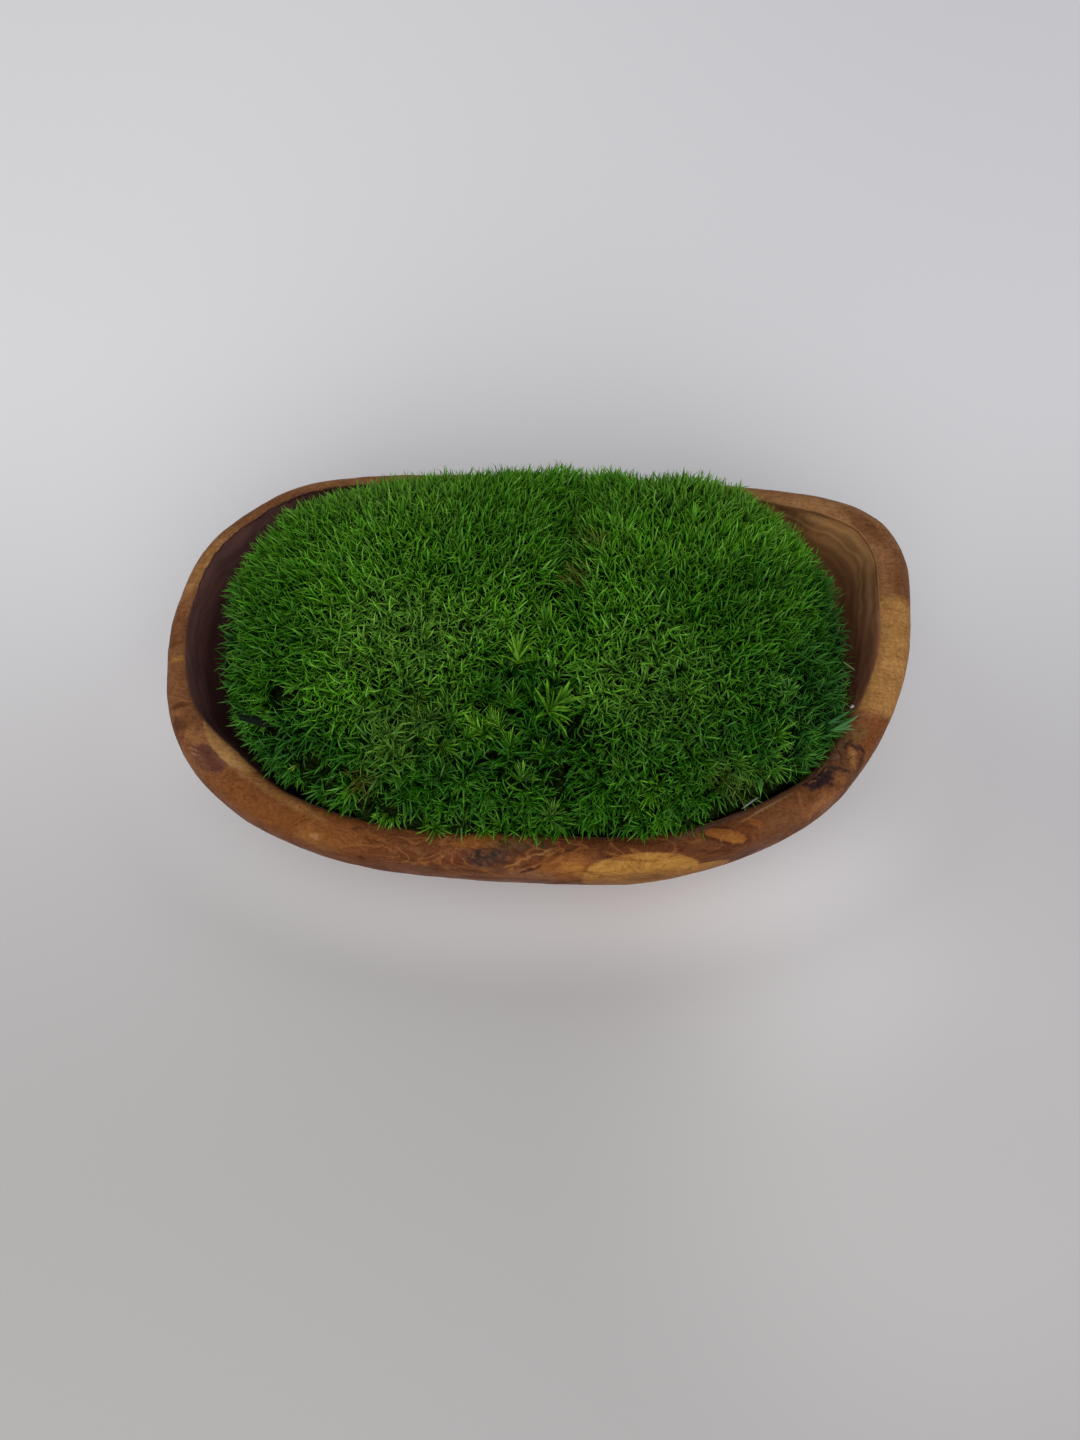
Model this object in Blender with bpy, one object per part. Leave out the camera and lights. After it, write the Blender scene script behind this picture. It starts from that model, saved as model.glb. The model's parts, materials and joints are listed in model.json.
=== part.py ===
"""Living cushion moss packed into a shallow carved wooden bowl with a natural, uneven outline.

The bowl stands on z = 0, centred on the origin. +X runs along its length and +Y away from the viewer.
Every outline is drawn in plan (seen from above), and every profile gives heights above the foot.
"""

import math

import bmesh
import bpy
import numpy as np

MM = 0.001

# The bowl: one block of hardwood, hollowed out by hand.
BOWL_LENGTH = 240 * MM
RIM_HEIGHT = 60 * MM
BOWL_SIDES = 90  # facets round the bowl
# Plan of the widest line of the outer wall, anticlockwise from the right end: x, y, and the
# breadth there from that line in to the inner edge of the rim.
BOWL_OUTLINE = MM * np.array([
    (118.0, 16.5, 13.0), (119.9, 36.0, 14.0), (112.5, 52.5, 13.5), (96.0, 61.0, 11.0),
    (68.0, 65.3, 8.0), (32.0, 68.5, 6.5), (-10.0, 70.4, 6.5), (-54.0, 70.2, 6.5),
    (-80.0, 66.8, 6.5), (-99.0, 56.0, 7.0), (-113.5, 39.5, 7.5), (-119.7, 16.0, 8.0),
    (-119.3, -3.0, 8.5), (-115.0, -24.0, 10.0), (-102.5, -42.0, 13.5), (-81.0, -56.5, 11.0),
    (-50.0, -65.8, 9.5), (-12.0, -69.5, 10.0), (28.0, -70.2, 10.0), (58.0, -63.3, 10.0),
    (85.5, -49.0, 10.0), (104.5, -25.5, 12.0), (115.0, -1.5, 12.3),
])
# Outer wall, from the foot up: share of the widest outline, height.
OUTER_WALL = [
    (0.60, 0.0), (0.65, 1.4 * MM), (0.735, 6 * MM), (0.825, 13 * MM), (0.90, 22 * MM),
    (0.955, 32 * MM), (0.99, 41 * MM), (1.0, 48 * MM), (0.997, 53 * MM),
]
# Rim, from the outside in: share of the breadth, depth below the crest.
RIM_SECTION = [
    (0.10, 3.4 * MM), (0.28, 1.3 * MM), (0.52, 0.2 * MM), (0.76, 0.0), (0.93, 0.7 * MM), (1.0, 2.0 * MM),
]
# Inner wall, from the rim down to the floor: share of the rim's inner edge, height.
INNER_WALL = [
    (0.987, 54 * MM), (0.968, 49 * MM), (0.942, 43 * MM), (0.90, 35 * MM), (0.83, 26 * MM),
    (0.72, 18 * MM), (0.55, 12.5 * MM), (0.30, 10.5 * MM),
]
FLOOR_HEIGHT = 10 * MM
RIM_LIFT = 1.0 * MM  # the right end stands this much higher than the middle, the left end lower
RIM_LIFT_TOWARDS = math.radians(20)  # the highest point, anticlockwise from +X
RIM_WAVE = 0.5 * MM  # slow hand-carved rise and fall of the crest
RIM_WAVES = 3  # of them round the bowl

# The soil: it fills the bottom of the hollow up to a level top.
SOIL_TOP = 42 * MM
SOIL_SIDES = 45
GAP = 0.4 * MM  # left free between pieces that touch
SOIL_CLEARANCE = 2 * GAP  # between the soil and the facets of the wood round it

# The moss: its outline where it stands clear of the rim, anticlockwise from the right end.
MOSS_OUTLINE = MM * np.array([
    (94.5, 0.0), (92.0, 15.0), (86.5, 32.0), (76.5, 46.0), (63.0, 54.5), (40.0, 59.5),
    (10.0, 62.0), (-22.0, 62.0), (-50.0, 59.5), (-69.0, 53.5), (-84.5, 44.0), (-95.5, 30.0),
    (-100.5, 14.0), (-100.5, -2.0), (-97.5, -16.5), (-91.0, -29.5), (-81.0, -40.5),
    (-68.0, -49.5), (-56.0, -55.5), (-42.0, -59.5), (-20.0, -62.0), (5.0, -62.5),
    (32.0, -61.5), (46.0, -57.5), (60.0, -50.5), (77.0, -41.0), (88.5, -29.5), (93.5, -14.0),
])
MOSS_SHOULDER = 63 * MM  # height at which the moss starts to round over
MOSS_RISE = 31 * MM  # from the shoulder to the crown
MOSS_ROUNDNESS = 2.1  # 2 is an ellipse, more is squarer
MOSS_LUMP = 0.8 * MM  # slow unevenness of the crown
LUMP_WAVES = np.array([(0.13, 0.04), (-0.07, 0.11)]) / MM  # how fast it changes along x and y
WALL_CLEARANCE = 1.6 * MM  # between the moss and the inner wall
PINCH_DEPTH = 3 * MM  # below the crest, where the rim holds the moss in
# Rings up one clump: share of its outline, from the shoulder in to the crown.
CLUMP_RINGS = [1.0, 0.98, 0.945, 0.89, 0.81, 0.68, 0.50, 0.27]

# Where the clumps press against each other: straight lines in plan, start to end.
SEAM_BACK = MM * np.array([(4.0, -2.0), (15.0, 66.0)])
SEAM_LEFT = MM * np.array([(-20.0, -66.0), (4.0, -2.0)])
SEAM_RIGHT = MM * np.array([(7.0, -66.0), (4.0, -2.0)])
CUT_FRONT_LEFT = MM * np.array([(-62.0, -44.0), (-10.0, -26.0)])
CUT_FRONT_RIGHT = MM * np.array([(20.0, -60.0), (90.0, -14.0)])
LEFT, RIGHT = 1, -1  # the side of such a line, looking from its start to its end

# Each clump: the lines that bound it and the side it lies on, facets round it, the share of its
# height that it loses where it meets its neighbours, and its colour.
CLUMPS = {
    "moss_cushion_left": (
        [(SEAM_BACK, LEFT), (SEAM_LEFT, LEFT), (CUT_FRONT_LEFT, LEFT)], 48, 0.13, (0.060, 0.160, 0.020)),
    "moss_cushion_right": (
        [(SEAM_BACK, RIGHT), (SEAM_RIGHT, RIGHT), (CUT_FRONT_RIGHT, LEFT)], 48, 0.15, (0.050, 0.150, 0.020)),
    "star_moss_seam": (
        [(SEAM_LEFT, RIGHT), (SEAM_RIGHT, LEFT)], 32, 0.10, (0.060, 0.170, 0.015)),
    "star_moss_front_left": (
        [(SEAM_LEFT, LEFT), (CUT_FRONT_LEFT, RIGHT)], 32, 0.12, (0.080, 0.170, 0.030)),
    "star_moss_front_right": (
        [(SEAM_RIGHT, RIGHT), (CUT_FRONT_RIGHT, RIGHT)], 32, 0.12, (0.030, 0.130, 0.025)),
}
CURVE_STEPS = 12  # points drawn between two marks of an outline
EDGE_DIP_POWER = 10  # how near its edge a clump starts to dip


def clear_scene():
    """Starts from an empty scene."""
    for thing in list(bpy.data.objects):
        bpy.data.objects.remove(thing)


def finish_of(name, colour, roughness):
    """A plain surface finish."""
    made = bpy.data.materials.new(name)
    made.use_nodes = True
    surface = made.node_tree.nodes["Principled BSDF"]
    surface.inputs["Base Color"].default_value = (*colour, 1.0)
    surface.inputs["Roughness"].default_value = roughness
    surface.inputs["Metallic"].default_value = 0.0
    return made


def spaced(points, count):
    """A closed line's corners, taken again at count even steps along it."""
    loop = np.vstack([points, points[:1]])
    steps = np.hypot(*np.diff(loop[:, :2], axis=0).T)
    along = np.concatenate([[0.0], np.cumsum(steps)])
    wanted = np.arange(count) * along[-1] / count
    return np.column_stack([np.interp(wanted, along, column) for column in loop.T])


def closed_curve(marks, count):
    """A smooth closed curve through the marks, as count points at even steps."""
    before, after, beyond = (np.roll(marks, shift, axis=0) for shift in (1, -1, -2))
    drawn = []
    for a, b, c, d in zip(before, marks, after, beyond):
        for t in np.arange(CURVE_STEPS) / CURVE_STEPS:
            drawn.append(0.5 * (2 * b + (c - a) * t + (2 * a - 5 * b + 4 * c - d) * t**2
                                + (3 * b - 3 * c + d - a) * t**3))
    return spaced(np.array(drawn), count)


def bowl_lines():
    """The widest outline of the bowl and the inner edge of its rim, in plan, centred on the origin."""
    curve = closed_curve(BOWL_OUTLINE, BOWL_SIDES)
    outline, breadth = curve[:, :2], curve[:, 2:]
    outline = outline - (outline.max(axis=0) + outline.min(axis=0)) / 2
    outline = outline * BOWL_LENGTH / np.ptp(outline[:, 0])
    along = np.roll(outline, -1, axis=0) - np.roll(outline, 1, axis=0)
    inward = np.column_stack([-along[:, 1], along[:, 0]]) / np.hypot(*along.T)[:, None]
    return outline, outline + inward * breadth


def reach(outline, points):
    """How far the outline lies from the origin, in the direction of each point."""
    angles = np.arctan2(outline[:, 1], outline[:, 0])
    wanted = np.arctan2(points[:, 1], points[:, 0])
    order = np.argsort(angles)
    return np.interp(wanted, angles[order], np.hypot(*outline[order].T), period=2 * math.pi)


def at_height(plan, height):
    """Lifts plan points to a height, which may differ from point to point."""
    return np.column_stack([plan, np.broadcast_to(height, len(plan))])


def sway(plan, height):
    """The slow rise and fall of the rim, which fades out towards the foot."""
    angle = np.arctan2(plan[:, 1], plan[:, 0])
    rise = RIM_LIFT * np.cos(angle - RIM_LIFT_TOWARDS) + RIM_WAVE * np.sin(RIM_WAVES * angle + 1)
    return height + rise * (height / RIM_HEIGHT) ** 2


def loft(name, rings, finish):
    """One closed body through the rings, from its lower pole up and over to its last pole."""
    mesh = bmesh.new()
    rows = [[mesh.verts.new(point) for point in ring] for ring in rings]
    for row, following in zip(rows, rows[1:]):
        count = max(len(row), len(following))
        for i in range(count):
            k = (i + 1) % count
            corners = [row[i % len(row)], row[k % len(row)]]
            corners += [following[k % len(following)], following[i % len(following)]]
            mesh.faces.new(list(dict.fromkeys(corners)))
    bmesh.ops.recalc_face_normals(mesh, faces=mesh.faces)
    data = bpy.data.meshes.new(name)
    mesh.to_mesh(data)
    mesh.free()
    data.shade_smooth()
    data.materials.append(finish)
    made = bpy.data.objects.new(name, data)
    bpy.context.collection.objects.link(made)
    return made


def pulled_in(plan, gap):
    """The plan, drawn in towards the origin by a gap."""
    return plan * (1 - gap / np.hypot(*plan.T))[:, None]


def inner_wall_at(inner_edge, height):
    """The plan of the inner wall at a height."""
    shares, heights = np.array([(1.0, RIM_HEIGHT)] + INNER_WALL).T
    return inner_edge * np.interp(height, heights[::-1], shares[::-1])


def make_bowl(outline, inner_edge):
    """Foot, outer wall, rounded rim, inner wall and floor, in one piece."""
    rings = [np.zeros((1, 3))]
    rings += [at_height(outline * share, sway(outline, z)) for share, z in OUTER_WALL]
    for share, depth in RIM_SECTION:
        plan = outline + (inner_edge - outline) * share
        rings.append(at_height(plan, sway(plan, RIM_HEIGHT - depth)))
    rings += [at_height(inner_edge * share, sway(inner_edge, z)) for share, z in INNER_WALL]
    rings.append(np.array([(0.0, 0.0, FLOOR_HEIGHT)]))
    return loft("wooden_bowl", rings, finish_of("wood", (0.23, 0.11, 0.045), 0.42))


def make_soil(inner_edge):
    """The growing medium: the shape of the hollow, up to a level top."""
    edge = spaced(inner_edge, SOIL_SIDES)
    heights = [z + SOIL_CLEARANCE for share, z in reversed(INNER_WALL) if z < SOIL_TOP - SOIL_CLEARANCE]
    rings = [np.array([(0.0, 0.0, FLOOR_HEIGHT + SOIL_CLEARANCE)])]
    for z in heights + [SOIL_TOP]:
        wall = inner_wall_at(edge, z - SOIL_CLEARANCE)
        rings.append(at_height(pulled_in(wall, SOIL_CLEARANCE), z))
    rings.append(np.array([(0.0, 0.0, SOIL_TOP)]))
    return loft("soil_bed", rings, finish_of("soil", (0.020, 0.013, 0.009), 0.95))


def cut_along(polygon, line, side):
    """The part of a convex polygon on one side of a line, half a GAP clear of it."""
    start, end = line
    along = (end - start) / np.hypot(*(end - start))
    across = np.array([-along[1], along[0]]) * side
    depth = (polygon - start) @ across - GAP / 2
    kept = []
    for i in range(len(polygon)):
        k = (i + 1) % len(polygon)
        if depth[i] >= 0:
            kept.append(polygon[i])
        if depth[i] * depth[k] < 0:
            share = depth[i] / (depth[i] - depth[k])
            kept.append(polygon[i] + (polygon[k] - polygon[i]) * share)
    return np.array(kept)


def crown(plan, moss_outline):
    """Height of the moss over each plan point: one low dome over the whole bowl."""
    share = np.minimum(np.hypot(*plan.T) / reach(moss_outline, plan), 1.0)
    dome = (1 - share**MOSS_ROUNDNESS) ** (1 / MOSS_ROUNDNESS)
    one_way, other_way = LUMP_WAVES @ plan.T
    lump = MOSS_LUMP * np.sin(one_way) * np.cos(other_way)
    return MOSS_SHOULDER + (MOSS_RISE + lump) * dome


def make_clump(name, inner_edge, moss_outline):
    """One clump of moss, from the soil up between its neighbours and over its crown."""
    bounds, sides, dip, colour = CLUMPS[name]

    def share_of_moss(outline):
        for line, side in bounds:
            outline = cut_along(outline, line, side)
        return spaced(outline, sides)

    def within_wall(height):
        room = reach(inner_wall_at(inner_edge, height), moss_outline) - WALL_CLEARANCE
        return moss_outline * np.minimum(1.0, room / np.hypot(*moss_outline.T))[:, None]

    foot = SOIL_TOP + GAP
    pinch = RIM_HEIGHT - PINCH_DEPTH
    rings = [at_height(share_of_moss(within_wall(z)), z) for z in (foot, pinch)]
    rings.insert(0, rings[0].mean(axis=0)[None])
    outline = share_of_moss(moss_outline)
    centre = outline.mean(axis=0)
    for share in CLUMP_RINGS:
        plan = centre + (outline - centre) * share
        rise = crown(plan, moss_outline) - MOSS_SHOULDER
        rings.append(at_height(plan, MOSS_SHOULDER + rise * (1 - dip * share**EDGE_DIP_POWER)))
    rings.append(at_height(centre[None], crown(centre[None], moss_outline)))
    return loft(name, rings, finish_of(name + "_leaves", colour, 0.6))


def main():
    clear_scene()
    outline, inner_edge = bowl_lines()
    moss_outline = closed_curve(MOSS_OUTLINE, 4 * BOWL_SIDES)
    make_bowl(outline, inner_edge)
    make_soil(inner_edge)
    for name in CLUMPS:
        make_clump(name, inner_edge, moss_outline)


main()
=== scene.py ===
# %% [markdown]
# # Cushion moss in a carved wooden bowl
# This lesson dresses a small planting: five clumps of living moss, pressed together in a shallow wooden bowl.
# The bowl, the soil and each clump already exist as plain solids with their true sizes. They are the frame.
# Each step below replaces one of them with the surface that the real thing has, in the same place.

# %% Load the frame
import json
import math

import bmesh
import bpy
import numpy as np
from mathutils import Matrix, Vector, noise
from mathutils.bvhtree import BVHTree

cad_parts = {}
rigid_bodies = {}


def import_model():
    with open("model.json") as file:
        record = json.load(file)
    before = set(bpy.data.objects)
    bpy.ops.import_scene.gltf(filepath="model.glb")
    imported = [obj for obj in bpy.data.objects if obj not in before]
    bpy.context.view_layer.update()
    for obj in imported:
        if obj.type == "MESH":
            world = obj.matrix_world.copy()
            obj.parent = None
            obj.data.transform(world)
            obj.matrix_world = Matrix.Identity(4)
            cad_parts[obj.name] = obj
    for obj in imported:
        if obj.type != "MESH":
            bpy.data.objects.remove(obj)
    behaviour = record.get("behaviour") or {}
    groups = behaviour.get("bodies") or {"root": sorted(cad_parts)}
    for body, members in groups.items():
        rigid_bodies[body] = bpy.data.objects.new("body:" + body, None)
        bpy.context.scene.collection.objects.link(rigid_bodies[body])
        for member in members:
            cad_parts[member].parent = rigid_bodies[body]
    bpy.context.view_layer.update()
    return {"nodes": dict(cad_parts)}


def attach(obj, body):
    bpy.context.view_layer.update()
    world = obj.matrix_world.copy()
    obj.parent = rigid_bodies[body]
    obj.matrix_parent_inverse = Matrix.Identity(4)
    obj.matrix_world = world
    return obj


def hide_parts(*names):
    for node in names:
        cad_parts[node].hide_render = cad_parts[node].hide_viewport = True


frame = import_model()
MM = 0.001

# %% [markdown]
# ## Camera
# The picture was taken with a phone held above the near side of the bowl, looking steeply down.
# A camera in Blender looks along its own -Z, so a tilt of 90 degrees would be level and 0 straight down.

# %% Camera
CAMERA_PLACE = Vector((-1.39, -167.04, 352.42)) * MM
CAMERA_DOWN = math.radians(64)  # how far the view dips below level
LENS = 27.05  # for a film 36 mm tall


def in_scene(name, data):
    """A new object with this data, linked into the scene."""
    made = bpy.data.objects.new(name, data)
    bpy.context.collection.objects.link(made)
    return made


camera = in_scene("camera", bpy.data.cameras.new("camera"))
camera.location = CAMERA_PLACE
camera.rotation_euler = (math.pi / 2 - CAMERA_DOWN, 0, 0)
camera.data.sensor_fit = "VERTICAL"
camera.data.sensor_height = 36
camera.data.lens = LENS
camera.data.clip_start = 10 * MM
bpy.context.scene.camera = camera
print(f"camera: {LENS} mm lens, {CAMERA_PLACE.length / MM:.0f} mm away")

# %% [markdown]
# ## A shorthand for node trees
# Materials and Geometry Nodes are both trees of nodes. Building them in code takes three lines for each node,
# so this helper does it in one: it adds a node, sets its options, and feeds its inputs. An input that is given
# a socket is linked to it, and any other value is written into the input. The small functions after it each
# stand for one kind of node that the trees below use again and again.

# %% Node helpers
def put(tree, kind, feeds=None, **options):
    """Adds one node to a tree, sets its options and feeds its inputs; a colour is given as three numbers."""
    node = tree.nodes.new(kind)
    for name, value in options.items():
        setattr(node, name, value)
    for slot, value in (feeds or {}).items():
        socket = node.inputs[slot]
        if isinstance(value, bpy.types.NodeSocket):
            tree.links.new(value, socket)
        else:
            socket.default_value = (*value, 1) if socket.type == "RGBA" else value
    return node


def maths(tree, operation, *values):
    """One Math node on up to three values."""
    return put(tree, "ShaderNodeMath", dict(enumerate(values)), operation=operation).outputs[0]


def times(tree, first, second):
    """One value times another."""
    return maths(tree, "MULTIPLY", first, second)


def vectors(tree, operation, first, second=None):
    """One Vector Math node; SCALE takes a number second."""
    feeds = {0: first}
    if second is not None:
        feeds[3 if operation == "SCALE" else 1] = second
    node = put(tree, "ShaderNodeVectorMath", feeds, operation=operation)
    return node.outputs[1 if operation in ("LENGTH", "DISTANCE", "DOT_PRODUCT") else 0]


def ramped(tree, value, low, high, out_low=0.0, out_high=1.0):
    """A value taken smoothly from one range to another."""
    feeds = {"Value": value, "From Min": low, "From Max": high, "To Min": out_low, "To Max": out_high}
    return put(tree, "ShaderNodeMapRange", feeds, interpolation_type="SMOOTHSTEP").outputs["Result"]


STAIN = "MULTIPLY"


def blended(tree, share, first, second, mode="MIX"):
    """Two colours mixed by a share; inputs 6 and 7 are a Mix node's colours."""
    feeds = {0: share, 6: first, 7: second}
    return put(tree, "ShaderNodeMix", feeds, data_type="RGBA", blend_type=mode).outputs[2]


def layered(tree, colour, *layers):
    """Lays colours over a colour: (share, colour) mixes one in, (share, colour, STAIN) multiplies by it."""
    for share, over, *mode in layers:
        colour = blended(tree, share, colour, over, *mode)
    return colour


def noise_in(tree, where, scale, detail=2.0, roughness=0.5, distortion=0.0):
    """The outputs of a noise texture: first a number, then a colour."""
    feeds = {"Vector": where, "Scale": scale, "Detail": detail, "Roughness": roughness, "Distortion": distortion}
    return put(tree, "ShaderNodeTexNoise", feeds).outputs


def wander_in(tree, where, scale, *settings):
    """Noise as a vector that wanders about zero."""
    return vectors(tree, "SUBTRACT", noise_in(tree, where, scale, *settings)["Color"], (0.5, 0.5, 0.5))


def layers_in(tree, along, roughness=0.5):
    """Uneven layers, one after the other, as a number grows."""
    return put(tree, "ShaderNodeTexNoise", {"W": along, "Scale": 1.0, "Detail": 3.0, "Roughness": roughness},
               noise_dimensions="1D").outputs[0]


# %% [markdown]
# ## Groups and materials
# A node group is a tree with inputs and outputs of its own, which other trees can use like a single node. Its
# inputs are given here by name, either with a value or with the kind of thing that they take. A material is a
# tree as well: its Principled node is the surface, and the other nodes feed it.

# %% Group and material helpers
SOCKETS = {float: "Float", int: "Int", bool: "Bool", tuple: "Vector"}


def group_tree(name, kind, inputs, outputs):
    """An empty node group; an input has a value or a kind, and an output has a kind."""
    tree = bpy.data.node_groups.new(name, kind)
    for label, value in inputs.items():
        socket = value if isinstance(value, str) else SOCKETS[type(value)]
        made = tree.interface.new_socket(name=label, in_out="INPUT", socket_type="NodeSocket" + socket)
        if socket is not value:
            made.default_value = value
    for label, socket in outputs.items():
        tree.interface.new_socket(name=label, in_out="OUTPUT", socket_type="NodeSocket" + socket)
    return tree, tree.nodes.new("NodeGroupInput").outputs, tree.nodes.new("NodeGroupOutput").inputs


def spoken(choices):
    """Python's names as the labels of inputs: ring_width is Ring width."""
    return {name.replace("_", " ").capitalize(): value for name, value in choices.items()}


def used(tree, group, **choices):
    """The outputs of a shader group, placed in a tree."""
    return put(tree, "ShaderNodeGroup", spoken(choices), node_tree=group).outputs


def new_material(name, roughness, specular):
    """A material with a Principled surface, its tree and that surface."""
    material = bpy.data.materials.new(name)
    material.use_nodes = True
    surface = material.node_tree.nodes["Principled BSDF"]
    surface.inputs["Roughness"].default_value = roughness
    surface.inputs["Specular IOR Level"].default_value = specular
    return material, material.node_tree, surface


def place_of(tree):
    """Where on the object a point lies, in metres."""
    return put(tree, "ShaderNodeTexCoord").outputs["Object"]


def stored(tree, label):
    """A number that the mesh stores for each of its corners."""
    return put(tree, "ShaderNodeAttribute", attribute_name=label).outputs["Fac"]


def dress(tree, surface, colour, height=None, **bump):
    """Gives a surface its colour and, where there is a height, the bumps that it makes."""
    tree.links.new(colour, surface.inputs["Base Color"])
    if height is not None:
        bumps = put(tree, "ShaderNodeBump", {"Height": height} | spoken(bump))
        tree.links.new(bumps.outputs[0], surface.inputs["Normal"])


# %% [markdown]
# ## From a frame solid to a workable mesh
# The frame's meshes arrive as loose triangles. Merging their doubled corners and joining the triangles into
# quads gives a clean mesh, and a Subdivision Surface modifier rounds its facets. The frame's own mesh is never
# changed: each step works on a copy.

# %% Mesh helpers
def smooth_copy(node):
    """A rounded quad copy of a frame solid, as a plain mesh."""
    mesh = bmesh.new()
    mesh.from_mesh(frame["nodes"][node].data)
    bmesh.ops.remove_doubles(mesh, verts=mesh.verts, dist=0.001 * MM)
    turn = math.radians(40)
    bmesh.ops.join_triangles(mesh, faces=mesh.faces, angle_face_threshold=turn, angle_shape_threshold=turn)
    data = bpy.data.meshes.new(node)
    mesh.to_mesh(data)
    mesh.free()
    work = in_scene(node, data)
    work.modifiers.new("rounding", "SUBSURF").levels = 2
    return applied(work, node + "_rounded")


def applied(work, name):
    """What an object's modifiers make of it, as a plain mesh; the object itself goes."""
    graph = bpy.context.evaluated_depsgraph_get()
    made = bpy.data.meshes.new_from_object(work.evaluated_get(graph), preserve_all_data_layers=True, depsgraph=graph)
    made.name = name
    bpy.data.objects.remove(work)
    return made


def points_of(mesh):
    """A mesh's corners as rows of x, y, z."""
    flat = np.zeros(len(mesh.vertices) * 3, np.float32)
    mesh.vertices.foreach_get("co", flat)
    return flat.reshape(-1, 3).astype(float)


def normals_of(mesh):
    """The direction that the surface faces at each corner."""
    flat = np.zeros(len(mesh.vertices) * 3, np.float32)
    mesh.vertex_normals.foreach_get("vector", flat)
    return flat.reshape(-1, 3).astype(float)


def move_points(mesh, points):
    """Writes new corners into a mesh."""
    mesh.vertices.foreach_set("co", np.asarray(points, np.float32).ravel())
    mesh.update()


def mark(mesh, name, values):
    """Stores one number for each corner, for the node trees to read."""
    mesh.attributes.new(name, "FLOAT", "POINT").data.foreach_set("value", np.asarray(values, np.float32))


def waves(points, size, seed, detail=3):
    """Smooth unevenness between about -1 and 1, whose bumps are size across."""
    shift = Vector((17.3, -5.1, 9.7)) * seed
    return np.array([noise.fractal(Vector(p) / size + shift, 1.0, 2.0, detail) for p in points])


def step(values, low, high):
    """0 below low, 1 above high and a smooth rise between; it falls if high is the lower."""
    t = np.clip((values - low) / (high - low), 0, 1)
    return t * t * (3 - 2 * t)


def triangles_of(mesh):
    """How many triangles a mesh holds."""
    return sum(len(face.vertices) - 2 for face in mesh.polygons)


def piece(name, mesh, material, stands_for, slot):
    """Shows a finished mesh as a piece of the object, in place of one frame solid."""
    made = in_scene(name, mesh)
    mesh.materials.clear()
    mesh.materials.append(material)
    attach(made, "root")
    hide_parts(stands_for)
    print(f"{name}: {triangles_of(mesh)} triangles")


# %% [markdown]
# ## The bowl
# It is one block of dense hardwood, hollowed with a gouge and sanded on the outside, with the tree's own uneven
# outline. A modifier could add noise to it, but the marks differ from place to place: soft hollows where the
# sander stayed longer, ridges along the inner wall where the gouge went round, and a rough dark pocket beside a
# knot. Moving the corners with a few formulas keeps each mark where it belongs.

# %% Bowl shape
RIDGE_SPACING = 5.5 * MM
RIDGE_DEPTH = 0.12 * MM
POCKET = Vector((80.6, -42.8, 60)) * MM  # rough bark pocket beside the knot at the right front


def bowl_mesh():
    """The bowl with its hollows, gouge ridges and pocket, marked for the finish."""
    mesh = smooth_copy("wooden_bowl")
    points, facing = points_of(mesh), normals_of(mesh)
    outward = np.hypot(points[:, 0], points[:, 1])
    inward = -(facing[:, 0] * points[:, 0] + facing[:, 1] * points[:, 1]) / np.maximum(outward, MM)
    push = 0.35 * MM * waves(points, 22 * MM, 1) + 0.10 * MM * waves(points, 5 * MM, 2)
    ridges = np.sin(points[:, 2] / RIDGE_SPACING * math.pi * 2 + 2.5 * waves(points, 40 * MM, 3))
    ridges *= 0.6 + 0.5 * waves(points, 25 * MM, 14)
    push += step(inward, 0.3, 0.7) * RIDGE_DEPTH * ridges
    rough = step(np.linalg.norm(points - np.array(POCKET), axis=1), 6 * MM, 2 * MM)
    push -= rough * (0.5 * MM + 0.7 * MM * waves(points, 1.6 * MM, 4, 4))
    push *= step(points[:, 2], 0.2 * MM, 3 * MM)  # the foot stays flat
    move_points(mesh, points + facing * push[:, None])
    mark(mesh, "inward", inward)
    mark(mesh, "groove", ridges)
    mesh.shade_smooth()
    return mesh


bowl_surface = bowl_mesh()
print("bowl:", triangles_of(bowl_surface), "triangles")

# %% [markdown]
# ## Wood: four reusable effects
# The wood is oiled root wood: golden sapwood, red-brown heartwood, and dark knots where branches grew. Four
# small shader groups do the work. *Rings* cuts the wood's yearly layers, which lie along the bowl and swirl
# where the figure is curly. *Veins* gives the thin, winding lines of burl wood, either single ones or several
# nested in each other like the height lines on a map. *Pores* gives short dark dashes.
# *Patch* gives a spot at one place, with a wobbly outline, and each patch then mixes in a colour of its own.

# %% Rings, veins, pores and patch groups
ACROSS_LAYERS = (0.10, 0.80, 0.60)  # the yearly layers lie square to this direction


def rings_group():
    """Yearly layers, bent by a swirl; other figures can follow the bent place."""
    tree, given, result = group_tree(
        "rings", "ShaderNodeTree", {"Place": "Vector", "Ring width": 0.002, "Swirl": 0.01, "Swirl size": 0.02},
        {"Rings": "Float", "Bent place": "Vector"})
    bend = wander_in(tree, given["Place"], maths(tree, "DIVIDE", 1.0, given["Swirl size"]))
    bent = vectors(tree, "ADD", given["Place"], vectors(tree, "SCALE", bend, given["Swirl"]))
    layer = maths(tree, "DIVIDE", vectors(tree, "DOT_PRODUCT", bent, ACROSS_LAYERS), given["Ring width"])
    tree.links.new(ramped(tree, layers_in(tree, layer, 0.6), 0.32, 0.68), result["Rings"])
    tree.links.new(bent, result["Bent place"])
    return tree


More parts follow.
